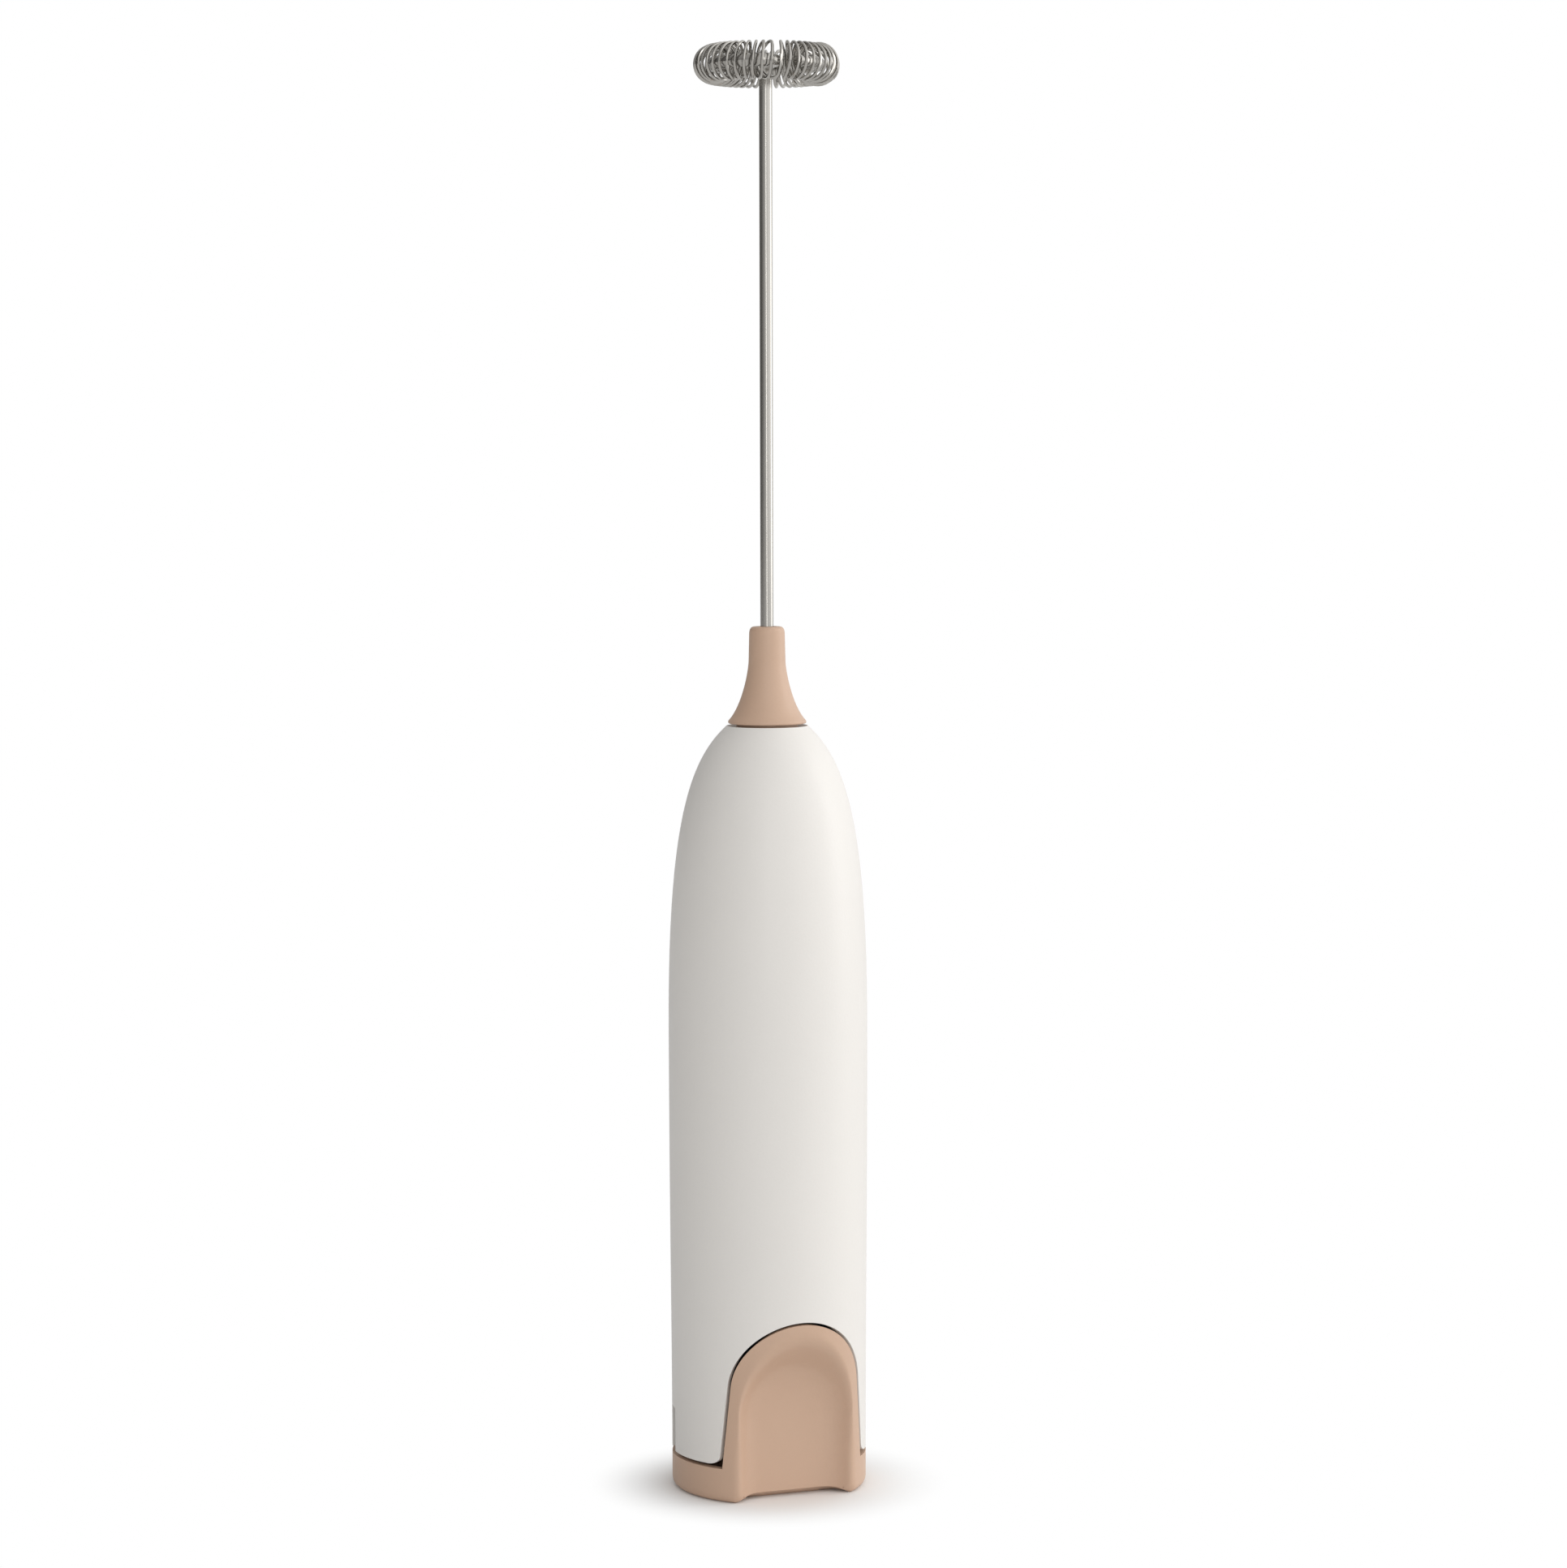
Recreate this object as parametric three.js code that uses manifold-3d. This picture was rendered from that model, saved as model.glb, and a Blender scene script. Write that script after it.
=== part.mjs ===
// A battery milk frother: a slim handle that holds two cells and a small motor, a nose cone,
// and a long wire that ends in a ring wound with a coil spring.
// Millimetres. +Z runs up the handle to the whisk, the thumb pad faces -Y, and the origin is
// the middle of the flat underside of the end cap.

import * as THREE from "three";
import { mergeVertices } from "three/addons/utils/BufferGeometryUtils.js";
import Module from "manifold-3d";

const wasm = await Module();
wasm.setup();

// Clearances
const GAP = 0.3; // between pieces that touch
const SHAFT_FIT = 0.12; // round a shaft pressed into a hub
const RUN_FIT = 0.2; // round a shaft that turns in a bush

// The two cells, side by side
const CELL_R = 7.05;
const CELL_LENGTH = 50;
const NUB_R = 2.75;
const NUB_HEIGHT = 1;

// Handle shell
const WALL = 1.25;
const BELLY = 0.2; // how much the handle swells above its straight foot
const FOOT_TAPER = 0.1;
const FOOT_RISE = 20; // how far up the straight foot reaches into the swell
const BELLY_REACH = 30; // how far down the belly reaches into it
const OGIVE_LENGTH = 48.4; // the rounded taper below the nose
const OGIVE_FULLNESS = 0.7; // share of the taper that keeps the belly's direction
const NECK_R = 6.5;
const NECK_FLARE = 1.085; // slope of the taper where it meets the nose

// End cap and its thumb pad
const CAP_HEIGHT = 5.5;
const CAP_FLOOR = 1.6;
const CAP_WALL = 1.4;
const CAP_FILLET = 1.3;
const PRESS_TRAVEL = 0.4; // of the cap when its switch is pressed
const TONGUE_HALF_WIDTH = 10.8; // of its round top
const TONGUE_DRAFT = 0.08; // how much its sides lean out toward the base
const TONGUE_TOP = 28.85;
const GROOVE_HALF_WIDTH = 7.2; // of the flat floor
const GROOVE_TOP = 20.5;
const GROOVE_DEPTH = 5.8;
const TOE_HEIGHT = 1.1; // of the undercut below the groove's floor
const TOE_DEPTH = 1.9;

// Latch fingers of the battery door, and the notches they sit in
const LATCH_ANGLE = 12; // degrees behind the sideways axis
const LATCH_WIDTH = 3;
const NOTCH_WIDTH = 3.8;
const NOTCH_TOP = 13.1;
const LATCH_SINK = 0.8; // how far the fingers stay below the outside

// Battery door, switch and contacts
const DISC_THICKNESS = 1.6;
const SHEET = 0.3; // contact metal
const CONTACT_WIDTH = 4;
const CONTACT_PLATE_ROOM = 1; // from a contact plate to the screw head beside it
const CONTACT_RISE = 5.25; // from a contact's plate to the cell
const CONTACT_RIM = 0.8; // of the plate outside the spring
const SPRING_WIRE_R = 0.25;
const SPRING_TURNS = 4;
const RETURN_TURNS = 5;
const POST_R = 1.5;
const SCREW_HEAD_R = 2.4;
const SCREW_HEAD_HEIGHT = 1.2;
const SCREW_SHANK_R = 0.8;
const SCREW_LENGTH = 5;
const FRONT_POST_ROOM = 0.7; // from the front screw's head to the back of the groove
const REAR_POST_ROOM = 1.85; // from the rear screw's head to the edge of the disc
const RETURN_SPRING_R = 2.25;
const BRIDGE_Y = 2.3;
const BRIDGE_WIDTH = 2.2;
const BRIDGE_BOSS_R = 2.2;
const BRIDGE_PIN_R = 0.8;
const BRIDGE_STAND = 0.8; // of the bridge above the foot of the shell
const BREAK_GAP = 0.05; // left between the bridge and the feet at full press
const FOOT_LENGTH = 2.4;
const LEG_SHIFT = 1; // of a contact's leg from the middle of its cell, inward

// Inner chassis
const DECK_THICKNESS = 1.6;
const WIRING_HEIGHT = 3.3;
const LEG_STAND = 1.4; // of the upper contacts' legs above the deck
const CUP_DEPTH = 9.8;
const CUP_INSET = 1; // leaves room for the shell's taper
const SPINE_HALF_WIDTH = 1.5;
const SPINE_SETBACK = 0.85; // of the spines from the plane in front of the cells

// Motor
const MOTOR_R = 10.05;
const MOTOR_FLAT = 7.55;
const MOTOR_WALL = 0.8;
const CAN_LENGTH = 21;
const BELL_THICKNESS = 3;
const BOSS_R = 3.05;
const BOSS_HEIGHT = 1.7;
const BUSH_LIP = 0.4; // that holds a bush in its pocket
const MOTOR_SHAFT_R = 1;
const MOTOR_SHAFT_LENGTH = 35.6;
const MAGNET_SETBACK = 5; // from the open end of the can
const AIR_GAP = 0.55; // between the magnets and the core
const CORE_CLEARANCE = 1.05; // between the core and the can's flats
const CORE_LENGTH = 10;
const POLE_WIDTH = 1.8;
const POLE_COUNT = 3;
const HUB_R = 2.1;
const SHOE_THICKNESS = 1.1;
const SHOE_HALF_ANGLE = 46; // degrees
const WINDING_THICKNESS = 1;
const COMMUTATOR_R = 2.2;
const COMMUTATOR_LENGTH = 3;

// Drive to the whisk
const COUPLING_R = 3.2;
const COUPLING_LENGTH = 14.3;
const COUPLING_ROOM = 1.3; // below and above it
const SPIGOT_R = 4.9;
const SPIGOT_LENGTH = 3;
const BUSH_R = 2.6;
const BUSH_LENGTH = 4.8;
const NOSE_HEIGHT = 15.55;
const NOSE_TIP_R = 2.95;
const FLANGE_STEP = 0.2; // of the nose inside the edge of the neck
const FLARE_LENGTH = 10.3; // from the flange up to the straight tip
const FLARE_PULL = 2.3; // how far the flare keeps its direction at each end
const SPIGOT_STAND = 0.8; // of the spigot's end below the bore it sits in

// Whisk
const WIRE_R = 1.05;
const REACH = 88.9; // from the tip of the nose to the middle of the ring
const RING_R = 8.4;
const COIL_R = 2.85; // from the ring's wire to the middle of the coil's wire
const COIL_WIRE_R = 0.25;
const COIL_TURNS = 47;
const COIL_SWELL = 0.35; // the coil is fatter where its two ends meet
const COIL_JOINT = -20; // degrees round the ring
const COIL_SPAN = 352;
const SWELL_REACH = 14; // degrees from each end
const PARTING_REACH = 68; // degrees either side of the spoke
const PARTING_FOCUS = 3; // how closely the parting keeps to the inside of each turn
const SPOKE_ANGLE = -98;
const SPOKE_BEND = 2.3;
const ELBOW_BEND = 2;
const RING_GAP = 38; // degrees left between the end of the ring and its start

// Heights and radii that follow from the sizes above
const BORE_R = 2 * CELL_R + GAP / 2 + GAP;
const BODY_R = BORE_R + WALL + BELLY;
const FOOT_R = BORE_R + WALL - FOOT_TAPER;
const CAP_R = FOOT_R;
const INNER_R = BORE_R - GAP; // whatever slides into the shell
const SEAM_GAP = PRESS_TRAVEL + 0.2;
const TONGUE_GAP = PRESS_TRAVEL + 0.1;
const SHELL_BASE = CAP_HEIGHT + SEAM_GAP;
const CELL_X = CELL_R + GAP / 2;
const CONTACT_PLATE = 2 * (CELL_X - SCREW_HEAD_R - CONTACT_PLATE_ROOM);
const CONTACT_SPRING_R = CONTACT_PLATE / 2 - CONTACT_RIM;
const BRIDGE_BASE = SHELL_BASE + BRIDGE_STAND;
const FOOT_BASE = BRIDGE_BASE + SHEET + PRESS_TRAVEL + BREAK_GAP;
const DISC_BASE = FOOT_BASE + SHEET + GAP;
const DISC_TOP = DISC_BASE + DISC_THICKNESS;
const DOOR_PLATE_BASE = DISC_TOP + GAP;
const CELL_BASE = DOOR_PLATE_BASE + SHEET + CONTACT_RISE + GAP;
const CELL_TOP = CELL_BASE + CELL_LENGTH;
const TOP_PLATE_TOP = CELL_TOP + GAP + CONTACT_RISE + SHEET;
const DECK_BASE = TOP_PLATE_TOP + GAP;
const DECK_TOP = DECK_BASE + DECK_THICKNESS;
const MOTOR_BASE = DECK_TOP + WIRING_HEIGHT + GAP;
const CAN_BASE = MOTOR_BASE + BELL_THICKNESS + GAP;
const CAN_TOP = CAN_BASE + CAN_LENGTH;
const SHAFT_BASE = MOTOR_BASE + 2 * GAP;
const SHAFT_TOP = SHAFT_BASE + MOTOR_SHAFT_LENGTH;
const COUPLING_BASE = CAN_TOP + BOSS_HEIGHT + COUPLING_ROOM;
const COUPLING_TOP = COUPLING_BASE + COUPLING_LENGTH;
const NECK_TOP = COUPLING_TOP + COUPLING_ROOM + SPIGOT_LENGTH;
const NOSE_BASE = NECK_TOP + GAP;
const NOSE_TIP = NOSE_BASE + NOSE_HEIGHT;
const RING_Z = NOSE_TIP + REACH;
const PAD_Y = -(BORE_R + WALL - GROOVE_DEPTH); // the groove's flat floor
const FRONT_POST_Y = PAD_Y + CAP_WALL + FRONT_POST_ROOM + SCREW_HEAD_R;
const REAR_POST_Y = INNER_R - REAR_POST_ROOM - SCREW_HEAD_R;
const MAGNET_R = MOTOR_R - MOTOR_WALL - GAP;
const CORE_R = MOTOR_FLAT - MOTOR_WALL - CORE_CLEARANCE;

const DEGREE = Math.PI / 180;
const MAGNET_MARGIN = 4 * DEGREE; // from the edge of a magnet to the can's flat

// ---- Solids -------------------------------------------------------------------------------

// A closed three.js geometry as a solid that can be joined and cut.
function solid(geometry) {
  const bare = new THREE.BufferGeometry();
  bare.setAttribute("position", geometry.getAttribute("position"));
  bare.setIndex(geometry.index);
  const merged = mergeVertices(bare);
  return new wasm.Manifold(
    new wasm.Mesh({
      numProp: 3,
      vertProperties: merged.attributes.position.array,
      triVerts: new Uint32Array(merged.index.array),
    }),
  );
}

// A solid as a three.js geometry again.
function geometryOf(body) {
  const mesh = body.getMesh();
  const geometry = new THREE.BufferGeometry();
  geometry.setAttribute("position", new THREE.BufferAttribute(mesh.vertProperties, 3));
  geometry.setIndex(new THREE.BufferAttribute(mesh.triVerts, 1));
  return geometry.toNonIndexed();
}

function join(...bodies) {
  return bodies.reduce((sum, body) => sum.add(body));
}

function cut(body, ...cutters) {
  return cutters.reduce((rest, cutter) => rest.subtract(cutter), body);
}

function box(x0, x1, y0, y1, z0, z1) {
  const geometry = new THREE.BoxGeometry(x1 - x0, y1 - y0, z1 - z0);
  geometry.translate((x0 + x1) / 2, (y0 + y1) / 2, (z0 + z1) / 2);
  return solid(geometry);
}

function cylinder(radius, z0, z1, x = 0, y = 0, sides = 20) {
  const geometry = new THREE.CylinderGeometry(radius, radius, z1 - z0, sides);
  geometry.rotateX(Math.PI / 2);
  geometry.translate(x, y, (z0 + z1) / 2);
  return solid(geometry);
}

function tube(outer, inner, z0, z1, x = 0, y = 0, sides = 20) {
  return cut(cylinder(outer, z0, z1, x, y, sides), cylinder(inner, z0 - 1, z1 + 1, x, y, sides));
}

// A body turned about +Z from an outline of (radius, height), which closes on itself.
function turned(outline, sides, curvePoints = 12) {
  outline.closePath();
  const geometry = new THREE.LatheGeometry(outline.getPoints(curvePoints), sides);
  geometry.rotateX(Math.PI / 2);
  return solid(geometry);
}

// A flat outline in X and Y, raised from z0 to z1.
function raised(shape, z0, z1, curveSegments = 12) {
  const options = { depth: z1 - z0, bevelEnabled: false, curveSegments };
  const geometry = new THREE.ExtrudeGeometry(shape, options);
  geometry.translate(0, 0, z0);
  return solid(geometry);
}

// A round wire along a curve. A full circle gets two sides for each curve segment.
function wire(curve, radius, steps, sides) {
  const section = new THREE.Shape();
  section.absarc(0, 0, radius, 0, 2 * Math.PI);
  const options = { steps, curveSegments: sides / 2, extrudePath: curve };
  return solid(new THREE.ExtrudeGeometry(section, options));
}

// A curve given by a function of t from 0 to 1.
class FormulaCurve extends THREE.Curve {
  constructor(at) {
    super();
    this.at = at;
  }
  getPoint(t) {
    return this.at(t);
  }
}

// A helix about a line parallel to +Z.
function helix(radius, z0, z1, turns, x, y) {
  return new FormulaCurve((t) => {
    const angle = 2 * Math.PI * turns * t;
    return new THREE.Vector3(
      x + radius * Math.cos(angle),
      y + radius * Math.sin(angle),
      z0 + (z1 - z0) * t,
    );
  });
}

const group = new THREE.Group();

function add(name, body, color, roughness, metalness) {
  const material = new THREE.MeshStandardMaterial({ color, roughness, metalness });
  const mesh = new THREE.Mesh(geometryOf(body), material);
  mesh.name = name;
  group.add(mesh);
}

const WHITE_PLASTIC = [0xdedad4, 0.35, 0];
const TAN_PLASTIC = [0xbca087, 0.55, 0];
const BLACK_PLASTIC = [0x2b2a29, 0.6, 0];
const IVORY_PLASTIC = [0xd8d2c4, 0.5, 0];
const STEEL = [0xb9b4ac, 0.25, 1];
const ZINC = [0x9da0a3, 0.4, 1];
const BRASS = [0xb08d4f, 0.35, 1];
const BRONZE = [0x8c6239, 0.6, 1];
const COPPER = [0xb4652f, 0.35, 1];
const CELL_JACKET = [0x3d4a52, 0.35, 0.3];
const MAGNET_BLACK = [0x3b3a3c, 0.7, 0.2];

// ---- Outer pieces -------------------------------------------------------------------------

// The arched outline of the tongue, set off outward, as a block that runs from the middle to
// the front of the handle. Its sides lean out toward the base and run into the arc smoothly.
function arch(offset) {
  const radius = TONGUE_HALF_WIDTH + offset;
  const centre = TONGUE_TOP - TONGUE_HALF_WIDTH;
  const lean = Math.atan(TONGUE_DRAFT);
  const bottom = -1;
  const fall = centre + radius * Math.sin(lean) - bottom;
  const foot = radius * Math.cos(lean) + TONGUE_DRAFT * fall;
  const shape = new THREE.Shape();
  shape.moveTo(-foot, bottom);
  shape.lineTo(foot, bottom);
  shape.absarc(0, centre, radius, lean, Math.PI - lean);
  const options = { depth: 2 * BODY_R, bevelEnabled: false, curveSegments: 20 };
  const geometry = new THREE.ExtrudeGeometry(shape, options);
  geometry.rotateX(Math.PI / 2);
  return solid(geometry);
}

// The thumb groove as a block that widens at 45 degrees from a flat floor at y = floor.
function groove(halfWidth, top, floor) {
  const spread = BODY_R;
  const shape = new THREE.Shape();
  shape.moveTo(-halfWidth, -2 * spread);
  shape.lineTo(halfWidth, -2 * spread);
  shape.lineTo(halfWidth, top - halfWidth);
  shape.absarc(0, top - halfWidth, halfWidth, 0, Math.PI);
  const geometry = new THREE.ExtrudeGeometry(shape, {
    depth: 1,
    bevelThickness: spread,
    bevelSize: spread,
    bevelSegments: 1,
    curveSegments: 14,
  });
  geometry.rotateX(Math.PI / 2);
  geometry.translate(0, floor - spread, 0);
  return solid(geometry);
}

// A block that reaches out through the wall at a latch, on the side given by sign.
function atLatch(sign, width, r0, r1, z0, z1) {
  const geometry = new THREE.BoxGeometry(r1 - r0, width, z1 - z0);
  geometry.translate((r0 + r1) / 2, 0, (z0 + z1) / 2);
  geometry.rotateZ(sign > 0 ? LATCH_ANGLE * DEGREE : Math.PI - LATCH_ANGLE * DEGREE);
  return solid(geometry);
}

function handleShell() {
  const ogiveBase = NECK_TOP - OGIVE_LENGTH;
  const reach = OGIVE_LENGTH * OGIVE_FULLNESS;
  const shoulder = 5.25; // how far the neck pulls its slope down the taper
  const spigotBore = SPIGOT_R + GAP;
  const ledge = NECK_TOP - SPIGOT_LENGTH + SPIGOT_STAND;
  const outline = new THREE.Path();
  outline.moveTo(BORE_R, SHELL_BASE);
  outline.lineTo(FOOT_R, SHELL_BASE);
  outline.bezierCurveTo(
    FOOT_R,
    SHELL_BASE + FOOT_RISE,
    BODY_R,
    ogiveBase - BELLY_REACH,
    BODY_R,
    ogiveBase,
  );
  outline.bezierCurveTo(
    BODY_R,
    ogiveBase + reach,
    NECK_R + NECK_FLARE * shoulder,
    NECK_TOP - shoulder,
    NECK_R,
    NECK_TOP,
  );
  outline.lineTo(spigotBore, NECK_TOP);
  outline.lineTo(spigotBore, ledge);
  outline.bezierCurveTo(
    spigotBore + shoulder,
    ledge - shoulder,
    BORE_R,
    ogiveBase + reach - WALL,
    BORE_R,
    ogiveBase,
  );
  const notches = [-1, 1].map((sign) =>
    atLatch(sign, NOTCH_WIDTH, BORE_R - WALL, BODY_R + WALL, 0, NOTCH_TOP),
  );
  return cut(turned(outline, 48, 9), arch(TONGUE_GAP), ...notches);
}

function noseCone() {
  const spigotBase = NOSE_BASE - SPIGOT_LENGTH;
  const waist = NOSE_BASE + FLARE_LENGTH;
  const flangeR = NECK_R - FLANGE_STEP;
  const pocketR = BUSH_R + GAP;
  const pocketTop = spigotBase + BUSH_LENGTH + 2 * GAP;
  const boreR = WIRE_R + GAP;
  const tipRound = 1.1;
  const tipDraft = 0.1;
  const outline = new THREE.Path();
  outline.moveTo(pocketR, spigotBase);
  outline.lineTo(SPIGOT_R, spigotBase);
  outline.lineTo(SPIGOT_R, NOSE_BASE);
  outline.lineTo(flangeR - 0.1, NOSE_BASE);
  outline.lineTo(flangeR, NOSE_BASE + 0.4);
  outline.bezierCurveTo(
    flangeR - FLARE_PULL,
    NOSE_BASE + FLARE_PULL,
    NOSE_TIP_R,
    waist - FLARE_PULL,
    NOSE_TIP_R,
    waist,
  );
  outline.lineTo(NOSE_TIP_R - tipDraft, NOSE_TIP - tipRound);
  outline.quadraticCurveTo(NOSE_TIP_R - tipDraft, NOSE_TIP, NOSE_TIP_R - tipRound, NOSE_TIP);
  outline.lineTo(boreR, NOSE_TIP);
  outline.lineTo(boreR, pocketTop);
  outline.lineTo(pocketR, pocketTop);
  return turned(outline, 32, 8);
}

function endCap() {
  const bottom = new THREE.Path();
  bottom.moveTo(0, 0);
  bottom.lineTo(CAP_R - CAP_FILLET, 0);
  bottom.absarc(CAP_R - CAP_FILLET, CAP_FILLET, CAP_FILLET, -Math.PI / 2, 0);
  bottom.lineTo(CAP_R, TONGUE_TOP + 1);
  bottom.lineTo(0, TONGUE_TOP + 1);
  const block = turned(bottom, 48, 4);
  const hollow = cylinder(CAP_R - CAP_WALL, CAP_FLOOR, TONGUE_TOP + 2, 0, 0, 48);
  const grooveWall = groove(
    GROOVE_HALF_WIDTH + CAP_WALL * (Math.SQRT2 - 1),
    GROOVE_TOP + CAP_WALL * (Math.SQRT2 - 1),
    PAD_Y + CAP_WALL,
  );
  const ring = box(-BODY_R, BODY_R, -BODY_R, BODY_R, -1, CAP_HEIGHT);
  const kept = join(ring, arch(0));
  const shell = cut(block.intersect(kept), cut(hollow, grooveWall));
  const posts = [FRONT_POST_Y, REAR_POST_Y].map((y) =>
    cylinder(POST_R, CAP_FLOOR - 1, DISC_TOP, 0, y),
  );
  const holes = [FRONT_POST_Y, REAR_POST_Y].map((y) =>
    cylinder(SCREW_SHANK_R + SHAFT_FIT, DISC_TOP - SCREW_LENGTH - GAP, DISC_TOP + 1, 0, y, 12),
  );
  const boss = cylinder(BRIDGE_BOSS_R, CAP_FLOOR - 1, BRIDGE_BASE - GAP, 0, BRIDGE_Y);
  const pin = cylinder(BRIDGE_PIN_R, CAP_FLOOR, BRIDGE_BASE + SHEET + GAP / 2, 0, BRIDGE_Y, 12);
  const whole = join(shell, ...posts, boss, pin);
  const toeHalf = GROOVE_HALF_WIDTH - CAP_WALL / 2;
  const toe = box(-toeHalf, toeHalf, -BODY_R, PAD_Y + TOE_DEPTH, -1, TOE_HEIGHT);
  return cut(whole, groove(GROOVE_HALF_WIDTH, GROOVE_TOP, PAD_Y), toe, ...holes);
}

// ---- Battery door and switch --------------------------------------------------------------

function doorFrame() {
  const flat = PAD_Y + CAP_WALL + GAP; // the disc is trimmed to clear the back of the groove
  const disc = cylinder(INNER_R, DISC_BASE, DISC_TOP, 0, 0, 44).intersect(
    box(-BODY_R, BODY_R, flat, BODY_R, 0, CELL_BASE),
  );
  const fingerTop = NOTCH_TOP - GAP;
  const fingers = [-1, 1].map((sign) =>
    atLatch(sign, LATCH_WIDTH, INNER_R - WALL, BODY_R - BELLY - LATCH_SINK, DISC_BASE, fingerTop),
  );
  const posts = [FRONT_POST_Y, REAR_POST_Y].map((y) =>
    cylinder(POST_R + GAP, 0, CELL_BASE, 0, y),
  );
  const slots = [-1, 1].map((sign) => {
    const x = sign * (CELL_X - LEG_SHIFT);
    const half = FOOT_LENGTH / 2 + GAP;
    return box(x - half, x + half, legFront() - GAP, legFront() + SHEET + GAP, 0, CELL_BASE);
  });
  return cut(join(disc, ...fingers), ...posts, ...slots);
}

// The front face of the strip that takes each door contact down through the disc.
function legFront() {
  return BRIDGE_Y + BRIDGE_WIDTH / 2 - SHEET;
}

// The plate of a contact on the side given by sign, reaching at least as far as its leg.
function contactPlate(sign, plateBase, legZ0, legZ1, legY) {
  const x = sign * CELL_X;
  const half = CONTACT_PLATE / 2;
  const rearEdge = Math.max(half, legY + SHEET);
  const plate = box(x - half, x + half, -half, rearEdge, plateBase, plateBase + SHEET);
  const legX = sign * (CELL_X - LEG_SHIFT);
  const leg = box(
    legX - FOOT_LENGTH / 2,
    legX + FOOT_LENGTH / 2,
    legY,
    legY + SHEET,
    legZ0,
    legZ1,
  );
  return join(plate, leg);
}

// The foot under the disc, which the bridge touches when the cap is pressed.
function contactFoot(sign) {
  const legX = sign * (CELL_X - LEG_SHIFT);
  const half = FOOT_LENGTH / 2;
  const [y0, y1] = [BRIDGE_Y - BRIDGE_WIDTH / 2, legFront() + SHEET];
  return box(legX - half, legX + half, y0, y1, FOOT_BASE, FOOT_BASE + SHEET);
}

// A bent strip that stands off a plate and carries a flat pad for a cell's nub.
function nubStrip(x, z0, z1) {
  const half = CONTACT_WIDTH / 2;
  const outer = box(x - half, x + half, -half, half, z0, z1);
  const inner = box(x - half + SHEET, x + half - SHEET, -half - 1, half + 1, z0 + SHEET, z1 - SHEET);
  return cut(outer, inner);
}

function springStack(x, z0, z1) {
  const line = helix(CONTACT_SPRING_R, z0, z1, SPRING_TURNS, x, 0);
  return wire(line, SPRING_WIRE_R, SPRING_TURNS * 9, 4);
}

function doorPlateContact() {
  const plate = contactPlate(1, DOOR_PLATE_BASE, FOOT_BASE, DOOR_PLATE_BASE + SHEET, legFront());
  const strip = nubStrip(CELL_X, DOOR_PLATE_BASE, CELL_BASE - GAP);
  return join(plate, contactFoot(1), strip);
}

function doorSpringContact() {
  const plate = contactPlate(-1, DOOR_PLATE_BASE, FOOT_BASE, DOOR_PLATE_BASE + SHEET, legFront());
  const z0 = DOOR_PLATE_BASE + SHEET;
  return join(plate, contactFoot(-1), springStack(-CELL_X, z0, CELL_BASE - GAP - SPRING_WIRE_R));
}

function bridgeStrip() {
  const half = CELL_X - LEG_SHIFT + FOOT_LENGTH / 2;
  const [y0, y1] = [BRIDGE_Y - BRIDGE_WIDTH / 2, BRIDGE_Y + BRIDGE_WIDTH / 2];
  const strip = box(-half, half, y0, y1, BRIDGE_BASE, BRIDGE_BASE + SHEET);
  const washer = cylinder(BRIDGE_BOSS_R, BRIDGE_BASE, BRIDGE_BASE + SHEET, 0, BRIDGE_Y);
  const hole = cylinder(BRIDGE_PIN_R + SHAFT_FIT, 0, CELL_BASE, 0, BRIDGE_Y, 12);
  return cut(join(strip, washer), hole);
}

function returnSpring(y) {
  const [z0, z1] = [CAP_FLOOR + GAP, DISC_BASE - GAP];
  const [low, high] = [z0 + SPRING_WIRE_R, z1 - SPRING_WIRE_R];
  const line = helix(RETURN_SPRING_R, low, high, RETURN_TURNS, 0, y);
  return wire(line, SPRING_WIRE_R, RETURN_TURNS * 9, 4);
}

function capScrew(y) {
  const seat = DISC_TOP + GAP;
  const tipR = SCREW_SHANK_R - 0.3;
  const head = new THREE.Path();
  head.moveTo(0, seat - SCREW_LENGTH);
  head.lineTo(tipR, seat - SCREW_LENGTH);
  head.lineTo(SCREW_SHANK_R, seat - SCREW_LENGTH + SCREW_SHANK_R);
  head.lineTo(SCREW_SHANK_R, seat);
  head.lineTo(SCREW_HEAD_R, seat);
  head.quadraticCurveTo(SCREW_HEAD_R, seat + SCREW_HEAD_HEIGHT, 0, seat + SCREW_HEAD_HEIGHT);
  const [long, wide, low] = [1.3, 0.25, seat + SCREW_HEAD_HEIGHT / 2]; // the cross recess
  const recess = [
    box(-long, long, -wide, wide, low, low + SCREW_HEAD_HEIGHT),
    box(-wide, wide, -long, long, low, low + SCREW_HEAD_HEIGHT),
  ];
  return cut(turned(head, 14, 3), ...recess).translate([0, y, 0]);
}

// ---- Cells, chassis and motor -------------------------------------------------------------

// A cell with its nub at the top, or at the bottom if it is turned over.
function cell(sign) {
  const edge = 0.5;
  const body = new THREE.Path();
  body.moveTo(0, 0);
  body.lineTo(CELL_R - edge, 0);
  body.lineTo(CELL_R, edge);
  body.lineTo(CELL_R, CELL_LENGTH - NUB_HEIGHT - edge);
  body.lineTo(CELL_R - edge, CELL_LENGTH - NUB_HEIGHT);
  body.lineTo(NUB_R, CELL_LENGTH - NUB_HEIGHT);
  body.lineTo(NUB_R, CELL_LENGTH - edge / 2);
  body.lineTo(NUB_R - edge / 2, CELL_LENGTH);
  body.lineTo(0, CELL_LENGTH);
  const upright = turned(body, 26);
  const set = sign < 0 ? upright : upright.rotate([180, 0, 0]).translate([0, 0, CELL_LENGTH]);
  return set.translate([sign * CELL_X, 0, CELL_BASE]);
}

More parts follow.
